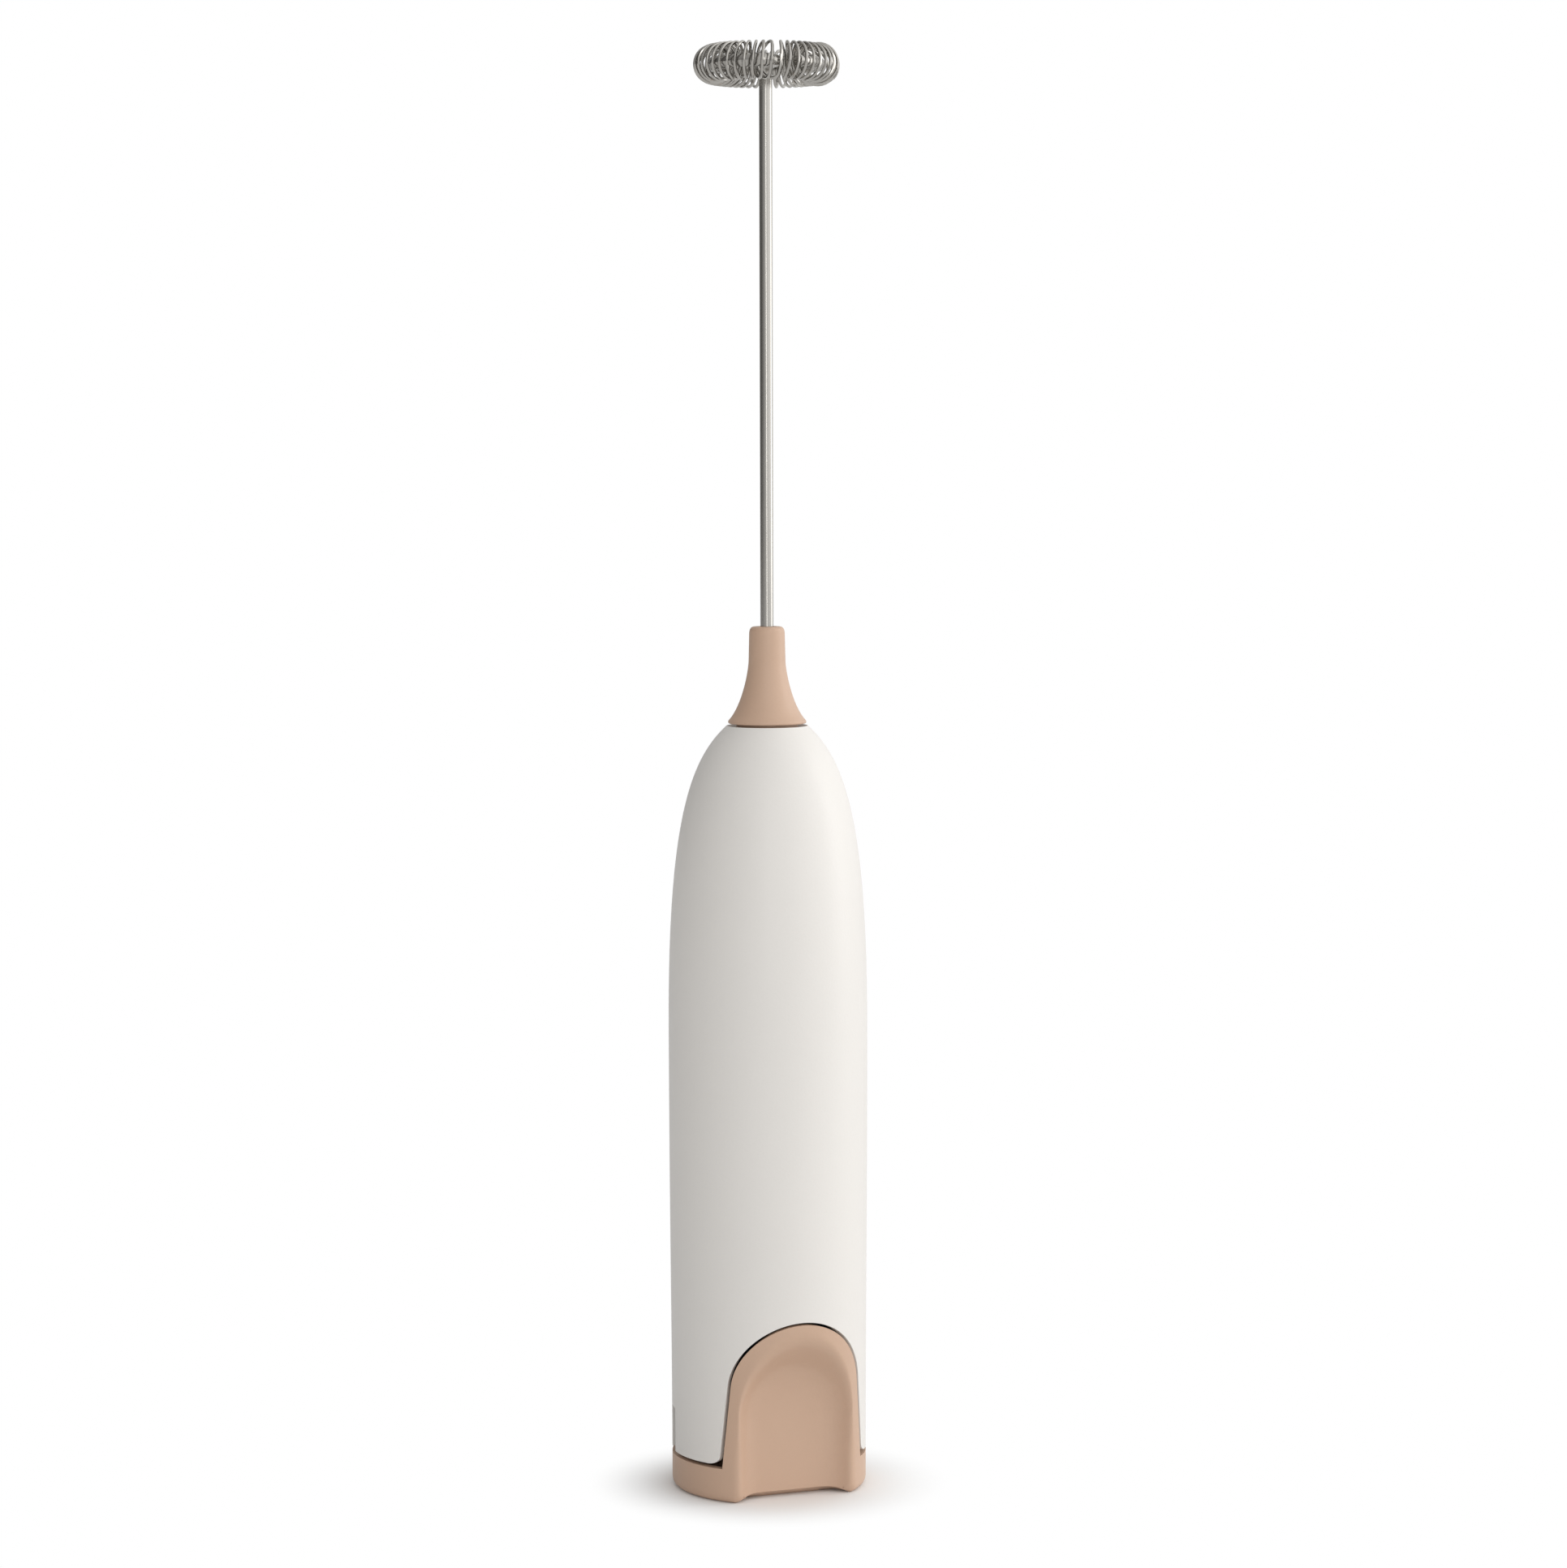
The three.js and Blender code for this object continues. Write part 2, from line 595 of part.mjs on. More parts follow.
// The motor's outline: a circle with a flat at the front and at the back.
function motorOutline(offset) {
  const [r, flat] = [MOTOR_R + offset, MOTOR_FLAT + offset];
  const angle = Math.asin(flat / r);
  const shape = new THREE.Shape();
  shape.absarc(0, 0, r, -angle, angle);
  shape.absarc(0, 0, r, Math.PI - angle, Math.PI + angle);
  return shape;
}

function chassis() {
  const cupTop = MOTOR_BASE + CUP_DEPTH;
  const deck = cylinder(INNER_R, DECK_BASE, DECK_TOP, 0, 0, 44);
  const cup = cylinder(INNER_R - CUP_INSET, DECK_TOP - 0.5, cupTop, 0, 0, 44);
  const pocket = raised(motorOutline(GAP), MOTOR_BASE - GAP, cupTop + 1);
  const wiring = cylinder(MOTOR_FLAT, DECK_TOP, MOTOR_BASE);
  const slots = [-1, 1].map((sign) => {
    const x = sign * (CELL_X - LEG_SHIFT);
    const half = FOOT_LENGTH / 2 + GAP;
    return box(x - half, x + half, -SHEET / 2 - GAP, SHEET / 2 + GAP, DECK_BASE - 1, DECK_TOP + 1);
  });
  const spine = (y0, y1, z0) =>
    box(-SPINE_HALF_WIDTH, SPINE_HALF_WIDTH, y0, y1, z0, DECK_BASE + 1).intersect(
      cylinder(INNER_R, 0, DECK_TOP, 0, 0, 44),
    );
  const inset = CELL_R - SPINE_SETBACK;
  const rear = spine(inset, BORE_R, CELL_BASE);
  const front = spine(-BORE_R, -inset, TONGUE_TOP + 2);
  return cut(join(deck, cup, rear, front), pocket, wiring, ...slots);
}

const TOP_LEG_TOP = DECK_TOP + LEG_STAND;

function topPlateContact() {
  const plateBase = TOP_PLATE_TOP - SHEET;
  const plate = contactPlate(-1, plateBase, plateBase, TOP_LEG_TOP, -SHEET / 2);
  return join(plate, nubStrip(-CELL_X, CELL_TOP + GAP, TOP_PLATE_TOP));
}

function topSpringContact() {
  const plateBase = TOP_PLATE_TOP - SHEET;
  const plate = contactPlate(1, plateBase, plateBase, TOP_LEG_TOP, -SHEET / 2);
  return join(plate, springStack(CELL_X, CELL_TOP + GAP + SPRING_WIRE_R, plateBase));
}

const BRUSH_X = COMMUTATOR_R + 0.15;
const BRUSH_THICKNESS = 1.2;
const BRUSH_TOP = MOTOR_BASE + BELL_THICKNESS + 2.2;
const TAB_X = 5.2;
const TAB_HALF_WIDTH = 1.2;
const TAB_STAND = 1.8; // of the motor's tabs below its bell

function motorCan() {
  const cup = raised(motorOutline(0), CAN_BASE, CAN_TOP);
  const boss = cylinder(BOSS_R, CAN_TOP - 0.5, CAN_TOP + BOSS_HEIGHT);
  const hollow = raised(motorOutline(-MOTOR_WALL), CAN_BASE - 1, CAN_TOP - MOTOR_WALL);
  const seat = CAN_TOP + BOSS_HEIGHT - BUSH_LIP;
  const bearing = cylinder(BOSS_R - MOTOR_WALL, CAN_TOP - 2 * MOTOR_WALL, seat);
  const mouth = cylinder(MOTOR_SHAFT_R + GAP, CAN_TOP, CAN_TOP + BOSS_HEIGHT + 1);
  return cut(join(cup, boss), hollow, bearing, mouth);
}

function motorBell() {
  const plate = raised(motorOutline(0), MOTOR_BASE, MOTOR_BASE + BELL_THICKNESS);
  const bushR = BOSS_R - MOTOR_WALL;
  const pocket = cylinder(bushR, MOTOR_BASE + BUSH_LIP, MOTOR_BASE + BELL_THICKNESS + 1);
  const slots = [-1, 1].map((sign) => {
    const x = sign * TAB_X;
    return box(
      x - SHEET / 2 - GAP,
      x + SHEET / 2 + GAP,
      -TAB_HALF_WIDTH - GAP,
      TAB_HALF_WIDTH + GAP,
      MOTOR_BASE - 1,
      MOTOR_BASE + BELL_THICKNESS + 1,
    );
  });
  return cut(plate, pocket, ...slots);
}

function motorBush(z0, z1) {
  return tube(BOSS_R - MOTOR_WALL - SHAFT_FIT, MOTOR_SHAFT_R + SHAFT_FIT, z0, z1);
}

// A brush: a tab through the bell, an arm across it and a carbon pad beside the commutator.
function brush(sign) {
  const span = (a, b) => [sign * a, sign * b].sort((p, q) => p - q);
  const [tab0, tab1] = span(TAB_X - SHEET / 2, TAB_X + SHEET / 2);
  const [arm0, arm1] = span(BRUSH_X + BRUSH_THICKNESS - SHEET, TAB_X + SHEET / 2);
  const [pad0, pad1] = span(BRUSH_X, BRUSH_X + BRUSH_THICKNESS);
  const armBase = MOTOR_BASE + BELL_THICKNESS + GAP;
  const half = TAB_HALF_WIDTH;
  return join(
    box(tab0, tab1, -half, half, MOTOR_BASE - TAB_STAND, BRUSH_TOP),
    box(arm0, arm1, -half, half, armBase, armBase + SHEET),
    box(pad0, pad1, -half + SHEET, half - SHEET, armBase, BRUSH_TOP),
  );
}

function magnet(sign) {
  const half = Math.asin((MOTOR_FLAT - MOTOR_WALL - GAP) / MAGNET_R) - MAGNET_MARGIN;
  const middle = sign > 0 ? 0 : Math.PI;
  const shape = new THREE.Shape();
  shape.absarc(0, 0, MAGNET_R, middle - half, middle + half);
  shape.absarc(0, 0, CORE_R + AIR_GAP, middle + half, middle - half, true);
  return raised(shape, CAN_BASE + MAGNET_SETBACK, CAN_TOP - MOTOR_WALL - 2, 8);
}

const CORE_BASE = CAN_BASE + MAGNET_SETBACK + 1.6;

// The three-pole core: a hub, three arms and a curved shoe on each.
function armatureCore() {
  const shoeInner = CORE_R - SHOE_THICKNESS;
  const spread = SHOE_HALF_ANGLE * DEGREE;
  const coreTop = CORE_BASE + CORE_LENGTH;
  const pieces = [cylinder(HUB_R, CORE_BASE, coreTop)];
  for (let pole = 0; pole < POLE_COUNT; pole++) {
    const shoe = new THREE.Shape();
    shoe.absarc(0, 0, CORE_R, -spread, spread);
    shoe.absarc(0, 0, shoeInner, spread, -spread, true);
    const half = POLE_WIDTH / 2;
    const arm = box(0, CORE_R - SHOE_THICKNESS / 2, -half, half, CORE_BASE, coreTop);
    const turn = [0, 0, (360 / POLE_COUNT) * pole];
    pieces.push(join(arm, raised(shoe, CORE_BASE, coreTop, 8)).rotate(turn));
  }
  const bore = cylinder(MOTOR_SHAFT_R + SHAFT_FIT, CAN_BASE, CAN_TOP, 0, 0, 12);
  return cut(join(...pieces), bore);
}

// The copper wound round one arm of the core.
function winding(pole) {
  const thick = WINDING_THICKNESS;
  const inner = POLE_WIDTH / 2 + GAP;
  const r0 = HUB_R + GAP;
  const r1 = Math.sqrt((CORE_R - SHOE_THICKNESS - GAP) ** 2 - (inner + thick) ** 2);
  const [z0, z1] = [CORE_BASE - GAP, CORE_BASE + CORE_LENGTH + GAP];
  const outer = box(r0, r1, -inner - thick, inner + thick, z0 - thick, z1 + thick);
  const ring = cut(outer, box(0, MOTOR_R, -inner, inner, z0, z1));
  return ring.rotate([0, 0, (360 / POLE_COUNT) * pole]);
}

function commutator() {
  const z0 = MOTOR_BASE + BELL_THICKNESS + GAP;
  const body = tube(COMMUTATOR_R, MOTOR_SHAFT_R + SHAFT_FIT, z0, z0 + COMMUTATOR_LENGTH);
  const [depth, half, uncut] = [0.5, 0.2, 0.6]; // of the slits between its segments
  const slit = box(
    COMMUTATOR_R - depth,
    COMMUTATOR_R + 1,
    -half,
    half,
    z0 - 1,
    z0 + COMMUTATOR_LENGTH - uncut,
  );
  const turns = [60, 180, 300];
  return cut(body, ...turns.map((turn) => slit.rotate([0, 0, turn])));
}

function lead(sign) {
  const x = sign * (CELL_X - LEG_SHIFT - FOOT_LENGTH / 2);
  const z = TOP_LEG_TOP;
  const curve = new THREE.CatmullRomCurve3([
    new THREE.Vector3(x, sign * 0.9, z - 0.4),
    new THREE.Vector3(x - sign * 0.3, sign * 2.2, z - 0.2),
    new THREE.Vector3(x, sign * 3.4, z + 0.2),
    new THREE.Vector3(sign * (TAB_X + 0.4), sign * 2.4, z + 0.7),
    new THREE.Vector3(sign * (TAB_X + 0.9), sign * 0.6, z + 1),
  ]);
  return wire(curve, 0.45, 14, 6);
}

// ---- Drive and whisk ----------------------------------------------------------------------

const WIRE_BASE = SHAFT_TOP + 2 * GAP;

function shaftCoupling() {
  const rounded = 0.5;
  const outline = new THREE.Path();
  outline.moveTo(0, COUPLING_BASE);
  outline.lineTo(COUPLING_R - rounded, COUPLING_BASE);
  outline.lineTo(COUPLING_R, COUPLING_BASE + rounded);
  outline.lineTo(COUPLING_R, COUPLING_TOP - rounded);
  outline.lineTo(COUPLING_R - rounded, COUPLING_TOP);
  outline.lineTo(0, COUPLING_TOP);
  const lower = cylinder(MOTOR_SHAFT_R + SHAFT_FIT, COUPLING_BASE - 1, SHAFT_TOP + GAP, 0, 0, 16);
  const upper = cylinder(WIRE_R + SHAFT_FIT, SHAFT_TOP + GAP - 0.1, COUPLING_TOP + 1, 0, 0, 16);
  return cut(turned(outline, 24), lower, upper);
}

// A point on the ring's wire line, or set off from it: out from the ring's middle and up.
function ringPoint(angle, radius, z) {
  return new THREE.Vector3(radius * Math.cos(angle), radius * Math.sin(angle), z);
}

// An arc that starts at a point with one unit direction and turns toward another.
class ArcCurve extends THREE.Curve {
  constructor(start, along, toward, radius, angle) {
    super();
    Object.assign(this, { start, along, toward, radius, angle });
  }
  getPoint(t) {
    const turn = this.angle * t;
    return this.start
      .clone()
      .addScaledVector(this.along, this.radius * Math.sin(turn))
      .addScaledVector(this.toward, this.radius * (1 - Math.cos(turn)));
  }
}

// One steel wire: straight up, bent out along a spoke, and bent round into the ring.
function whiskWire() {
  const spoke = SPOKE_ANGLE * DEGREE;
  const up = new THREE.Vector3(0, 0, 1);
  const out = ringPoint(spoke, 1, 0);
  const side = ringPoint(spoke - Math.PI / 2, 1, 0);
  const bendStart = new THREE.Vector3(0, 0, RING_Z - SPOKE_BEND);
  const bend = new ArcCurve(bendStart, up, out, SPOKE_BEND, Math.PI / 2);
  const elbowStart = out.clone().multiplyScalar(RING_R - ELBOW_BEND).setZ(RING_Z);
  const elbow = new ArcCurve(elbowStart, out, side, ELBOW_BEND, Math.PI / 2);
  const ringStart = elbow.getPoint(1);
  const startAngle = Math.atan2(ringStart.y, ringStart.x);
  const sweep = 2 * Math.PI - RING_GAP * DEGREE;
  const settling = 6; // the elbow ends off the ring, which is reached a sixth of the way round
  const ring = new FormulaCurve((t) => {
    const settle = Math.min(1, settling * t);
    const radius = ringStart.clone().setZ(0).length() * (1 - settle) + RING_R * settle;
    return ringPoint(startAngle - sweep * t, radius, RING_Z);
  });
  const path = new THREE.CurvePath();
  path.add(bend);
  path.add(new THREE.LineCurve3(bend.getPoint(1), elbowStart));
  path.add(elbow);
  path.add(ring);
  const straight = cylinder(WIRE_R, WIRE_BASE, RING_Z - SPOKE_BEND + 0.01, 0, 0, 10);
  return join(straight, wire(path, WIRE_R, 56, 10));
}

// The coil spring threaded on the ring. Its turns part on the inside to let the spoke through,
// and pass outside the ring's wire right where the spoke is.
function whiskCoil() {
  const start = COIL_JOINT + (360 - COIL_SPAN) / 2;
  const atSpoke = THREE.MathUtils.euclideanModulo(SPOKE_ANGLE - start, 360) / COIL_SPAN;
  const room = Math.asin((WIRE_R + COIL_WIRE_R + GAP) / (RING_R - COIL_R)) / DEGREE;
  const spread = 1.25 * room - COIL_SPAN / COIL_TURNS / 2;
  const curve = new FormulaCurve((t) => {
    const wound = 2 * Math.PI * COIL_TURNS * (t - atSpoke);
    const inward = ((1 - Math.cos(wound)) / 2) ** PARTING_FOCUS;
    const fromSpoke = COIL_SPAN * (t - atSpoke);
    const parted = spread * Math.sign(fromSpoke) * Math.exp(-Math.abs(fromSpoke) / PARTING_REACH);
    const fromEnd = Math.min(t, 1 - t) * COIL_SPAN;
    const radius = COIL_R + COIL_SWELL * Math.exp(-((fromEnd / SWELL_REACH) ** 2));
    return ringPoint(
      (start + COIL_SPAN * t + parted * inward) * DEGREE,
      RING_R + radius * Math.cos(wound),
      RING_Z + radius * Math.sin(wound),
    );
  });
  curve.arcLengthDivisions = 2400;
  return wire(curve, COIL_WIRE_R, COIL_TURNS * 7, 4);
}

// ---- Assembly -----------------------------------------------------------------------------

add("handle_shell", handleShell(), ...WHITE_PLASTIC);
add("nose_cone", noseCone(), ...TAN_PLASTIC);
add(
  "shaft_bush",
  tube(
    BUSH_R,
    WIRE_R + RUN_FIT,
    NOSE_BASE - SPIGOT_LENGTH + GAP,
    NOSE_BASE - SPIGOT_LENGTH + GAP + BUSH_LENGTH,
  ),
  ...BRONZE,
);
add("chassis", chassis(), ...IVORY_PLASTIC);
add("top_plate_contact", topPlateContact(), ...BRASS);
add("top_spring_contact", topSpringContact(), ...STEEL);
add("battery_left", cell(-1), ...CELL_JACKET);
add("battery_right", cell(1), ...CELL_JACKET);
add("lead_positive", lead(-1), 0xa8322a, 0.5, 0);
add("lead_negative", lead(1), 0x1f1f20, 0.5, 0);

add("motor_can", motorCan(), ...ZINC);
add("motor_bell", motorBell(), ...IVORY_PLASTIC);
add("motor_bush_front", motorBush(CAN_TOP - 0.4, CAN_TOP + BOSS_HEIGHT - 0.6), ...BRONZE);
add(
  "motor_bush_rear",
  motorBush(MOTOR_BASE + 0.6, MOTOR_BASE + BELL_THICKNESS - 0.3),
  ...BRONZE,
);
add("magnet_left", magnet(-1), ...MAGNET_BLACK);
add("magnet_right", magnet(1), ...MAGNET_BLACK);
add("brush_left", brush(-1), ...COPPER);
add("brush_right", brush(1), ...COPPER);

add("motor_shaft", cylinder(MOTOR_SHAFT_R, SHAFT_BASE, SHAFT_TOP, 0, 0, 12), ...STEEL);
add("armature_core", armatureCore(), ...ZINC);
for (let pole = 0; pole < POLE_COUNT; pole++) add(`winding_${pole + 1}`, winding(pole), ...COPPER);
add("commutator", commutator(), ...COPPER);
add("shaft_coupling", shaftCoupling(), ...BLACK_PLASTIC);
add("whisk_wire", whiskWire(), ...STEEL);
add("whisk_coil", whiskCoil(), ...STEEL);

add("door_frame", doorFrame(), ...BLACK_PLASTIC);
add("door_plate_contact", doorPlateContact(), ...BRASS);
add("door_spring_contact", doorSpringContact(), ...STEEL);

add("end_cap", endCap(), ...TAN_PLASTIC);
add("bridge_strip", bridgeStrip(), ...BRASS);
add("cap_screw_front", capScrew(FRONT_POST_Y), ...STEEL);
add("cap_screw_rear", capScrew(REAR_POST_Y), ...STEEL);
add("return_spring_front", returnSpring(FRONT_POST_Y), ...STEEL);
add("return_spring_rear", returnSpring(REAR_POST_Y), ...STEEL);

export default group;
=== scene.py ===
from math import asin, atan, atan2, cos, degrees, exp, hypot, pi, radians, sin, sqrt

import bmesh
import bpy
from mathutils import Matrix, Vector
from mathutils.geometry import interpolate_bezier


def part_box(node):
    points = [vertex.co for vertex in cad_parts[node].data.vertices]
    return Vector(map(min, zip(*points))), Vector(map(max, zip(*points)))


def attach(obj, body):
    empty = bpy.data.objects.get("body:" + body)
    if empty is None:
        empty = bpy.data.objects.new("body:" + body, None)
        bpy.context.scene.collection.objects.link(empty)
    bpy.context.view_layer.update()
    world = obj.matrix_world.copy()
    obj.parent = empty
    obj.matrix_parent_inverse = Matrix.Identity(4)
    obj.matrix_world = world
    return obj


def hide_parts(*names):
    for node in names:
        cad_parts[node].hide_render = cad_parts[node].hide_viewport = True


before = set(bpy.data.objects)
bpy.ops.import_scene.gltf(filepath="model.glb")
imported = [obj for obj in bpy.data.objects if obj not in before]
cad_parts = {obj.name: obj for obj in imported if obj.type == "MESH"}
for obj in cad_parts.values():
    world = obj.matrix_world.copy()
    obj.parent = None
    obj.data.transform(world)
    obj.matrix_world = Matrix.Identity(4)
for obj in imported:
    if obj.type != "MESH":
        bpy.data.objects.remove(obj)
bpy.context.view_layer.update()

MM = 0.001


# ---- Handle shell ---------------------------------------------------------------------------
# The casing is one injection moulding in satin white plastic, 1.15 mm thick. Its foot is cut
# away in an arch for the thumb pad and has two open notches for the battery door's fingers.


def bezier(*corners, points=24):
    """Points of one bezier curve given by its four (radius, height) corners."""
    knots = [Vector((r, 0, z)) for r, z in corners]
    return [(p.x, p.z) for p in interpolate_bezier(*knots, points)]


def height_to_radius(outline, z):
    """The radius at which an outline passes the height z."""
    for (r0, z0), (r1, z1) in zip(outline, outline[1:]):
        if z <= z1:
            return r0 + (r1 - r0) * max(0.0, z - z0) / max(z1 - z0, 1e-9)
    return outline[-1][0]


def lerp(a, b, share):
    """The value a share of the way from a to b."""
    return a + (b - a) * share


def spaced(a, b, steps):
    """Even steps from a up to, and not including, b."""
    return [lerp(a, b, i / steps) for i in range(steps)]


def bent_grid(columns, rows, keep, place):
    """A sheet of columns by rows faces, cut down to those kept, and laid where place says."""
    bm = bmesh.new()
    bmesh.ops.create_grid(bm, x_segments=columns, y_segments=rows, size=0.5)
    cells = {v: (round((v.co.x + 0.5) * columns), round((v.co.y + 0.5) * rows)) for v in bm.verts}
    spare = []
    for face in bm.faces:
        column = min(cells[v][0] for v in face.verts)
        row = min(cells[v][1] for v in face.verts)
        if not keep(column, row):
            spare.append(face)
    bmesh.ops.delete(bm, geom=spare, context="FACES")
    for v in bm.verts:
        v.co = MM * Vector(place(*cells[v]))
    bmesh.ops.remove_doubles(bm, verts=bm.verts[:], dist=1e-6)
    return bm


def finished(name, bm, materials, body, slot, *nodes):
    """Make a bmesh a named piece that rides on a body and stands for its CAD nodes."""
    mesh = bpy.data.meshes.new(name)
    bm.to_mesh(mesh)
    bm.free()
    return finished_mesh(name, mesh, materials, body, slot, *nodes)


def finished_mesh(name, mesh, materials, body, slot, *nodes):
    """The same for a finished mesh, with its sharp edges marked."""
    for material in materials:
        mesh.materials.append(material)
    mesh.shade_smooth()
    mesh.set_sharp_from_angle(angle=radians(38))
    obj = bpy.data.objects.new(name, mesh)
    bpy.context.scene.collection.objects.link(obj)
    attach(obj, body)
    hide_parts(*nodes)
    return obj


def walled(obj, thickness, edge, even=True):
    """Give a skin its wall, inwards, and round the edges off."""
    wall = obj.modifiers.new("wall", "SOLIDIFY")
    wall.thickness = thickness * MM
    wall.offset = -1
    wall.use_even_offset = even
    wall.use_quality_normals = True
    rounded = obj.modifiers.new("rounded_edges", "BEVEL")
    rounded.width = edge * MM
    rounded.segments = 3
    rounded.profile = 0.5
    rounded.limit_method = "ANGLE"
    rounded.angle_limit = radians(30)
    rounded.harden_normals = True
    return obj


def node_group(name, inputs, outputs):
    """An empty shader group with float inputs (name, value) and outputs (name, type)."""
    group = bpy.data.node_groups.new(name, "ShaderNodeTree")
    for label, value in inputs:
        socket = group.interface.new_socket(label, in_out="INPUT", socket_type="NodeSocketFloat")
        socket.default_value = value
    for label, kind in outputs:
        group.interface.new_socket(label, in_out="OUTPUT", socket_type=kind)
    return group, group.nodes.new("NodeGroupInput"), group.nodes.new("NodeGroupOutput")


def noise(tree, vector, scale, detail, roughness=0.5):
    """A noise texture's value; its scale is a number or a socket."""
    node = tree.nodes.new("ShaderNodeTexNoise")
    node.inputs["Detail"].default_value = detail
    node.inputs["Roughness"].default_value = roughness
    tree.links.new(vector, node.inputs["Vector"])
    if isinstance(scale, (int, float)):
        node.inputs["Scale"].default_value = scale
    else:
        tree.links.new(scale, node.inputs["Scale"])
    return node.outputs["Fac"]


def math(tree, operation, a, b):
    """One step of arithmetic on two numbers or sockets."""
    node = tree.nodes.new("ShaderNodeMath")
    node.operation = operation
    for socket, value in zip(node.inputs, (a, b)):
        if isinstance(value, (int, float)):
            socket.default_value = value
        else:
            tree.links.new(value, socket)
    return node.outputs[0]


# The skin of a moulding: a fine spark-eroded grain, slow mottling and a few hairline scuffs.
skin, skin_in, skin_out = node_group(
    "moulded_skin",
    [("Grain Scale", 2600), ("Grain", 1), ("Mottle", 0.03), ("Gloss Change", 0.08)],
    [("Shade", "NodeSocketFloat"), ("Gloss", "NodeSocketFloat"), ("Height", "NodeSocketFloat")],
)
skin_place = skin.nodes.new("ShaderNodeTexCoord").outputs["Object"]
grain = noise(skin, skin_place, skin_in.outputs["Grain Scale"], 2, 0.6)
flow = noise(skin, skin_place, 38, 4)
scuff = noise(skin, skin_place, 420, 5, 0.7)
mottle = math(skin, "MULTIPLY", math(skin, "SUBTRACT", flow, 0.5), skin_in.outputs["Mottle"])
speck = math(skin, "MULTIPLY", math(skin, "SUBTRACT", grain, 0.5), skin_in.outputs["Mottle"])
skin.links.new(math(skin, "ADD", math(skin, "ADD", mottle, speck), 1.0), skin_out.inputs["Shade"])
gloss = math(skin, "MULTIPLY", math(skin, "SUBTRACT", scuff, 0.5), skin_in.outputs["Gloss Change"])
skin.links.new(gloss, skin_out.inputs["Gloss"])
skin.links.new(math(skin, "MULTIPLY", grain, skin_in.outputs["Grain"]), skin_out.inputs["Height"])


def plastic(name, colour, roughness, grain_scale=2600, grain_depth=0.02, mottle=0.03, coat=0.0):
    """A moulded plastic: its colour, and the grain that the mould leaves on it."""
    material = bpy.data.materials.new(name)
    material.use_nodes = True
    tree = material.node_tree
    shader = tree.nodes["Principled BSDF"]
    effect = tree.nodes.new("ShaderNodeGroup")
    effect.node_tree = skin
    effect.inputs["Grain Scale"].default_value = grain_scale
    effect.inputs["Mottle"].default_value = mottle
    tint = tree.nodes.new("ShaderNodeMix")
    tint.data_type = "RGBA"
    tint.blend_type = "MULTIPLY"
    tint.inputs["Factor"].default_value = 1
    tint.inputs["A"].default_value = (*colour, 1)
    tree.links.new(effect.outputs["Shade"], tint.inputs["B"])
    tree.links.new(tint.outputs["Result"], shader.inputs["Base Color"])
    rough = math(tree, "ADD", effect.outputs["Gloss"], roughness)
    tree.links.new(rough, shader.inputs["Roughness"])
    bump = tree.nodes.new("ShaderNodeBump")
    bump.inputs["Strength"].default_value = 0.6
    bump.inputs["Distance"].default_value = grain_depth * MM
    tree.links.new(effect.outputs["Height"], bump.inputs["Height"])
    tree.links.new(bump.outputs["Normal"], shader.inputs["Normal"])
    shader.inputs["Coat Weight"].default_value = coat
    shader.inputs["Coat Roughness"].default_value = 0.25
    return material


white_plastic = plastic("satin_white_plastic", (0.79, 0.765, 0.735), 0.42, coat=0.12)

shell_low, shell_high = (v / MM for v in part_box("handle_shell"))
SHELL_BASE, NECK_TOP, BODY_R = shell_low.z, shell_high.z, shell_high.x
FOOT_R, NECK_R, SHELL_WALL = 15.7, 6.5, 1.15
OGIVE_LENGTH, OGIVE_FULLNESS, NECK_PULL, NECK_FLARE = 48.4, 0.7, 5.25, 1.085
FOOT_RISE, BELLY_REACH = 20, 30
OGIVE_BASE = NECK_TOP - OGIVE_LENGTH
shell_foot = bezier(
    (FOOT_R, SHELL_BASE),
    (FOOT_R, SHELL_BASE + FOOT_RISE),
    (BODY_R, OGIVE_BASE - BELLY_REACH),
    (BODY_R, OGIVE_BASE),
)
shell_ogive = bezier(
    (BODY_R, OGIVE_BASE),
    (BODY_R, OGIVE_BASE + OGIVE_FULLNESS * OGIVE_LENGTH),
    (NECK_R + NECK_FLARE * NECK_PULL, NECK_TOP - NECK_PULL),
    (NECK_R, NECK_TOP),
    points=34,
)

# The arch: a round top whose sides lean out a little toward the base.
TONGUE_HALF_WIDTH, TONGUE_TOP, TONGUE_DRAFT, TONGUE_GAP = 10.8, 28.85, 0.08, 0.42
ARCH_CENTRE = TONGUE_TOP - TONGUE_HALF_WIDTH
LEAN = atan(TONGUE_DRAFT)


def arch_side(z, offset):
    """How far out the side of the arch is at a height under its round top."""
    r = TONGUE_HALF_WIDTH + offset
    return r * cos(LEAN) + TONGUE_DRAFT * (ARCH_CENTRE + r * sin(LEAN) - z)


def arch_top(share, offset):
    """A point of the round top, for a share of the way over it from left to right."""
    r, around = TONGUE_HALF_WIDTH + offset, lerp(pi - LEAN, LEAN, share)
    return r * cos(around), ARCH_CENTRE + r * sin(around)


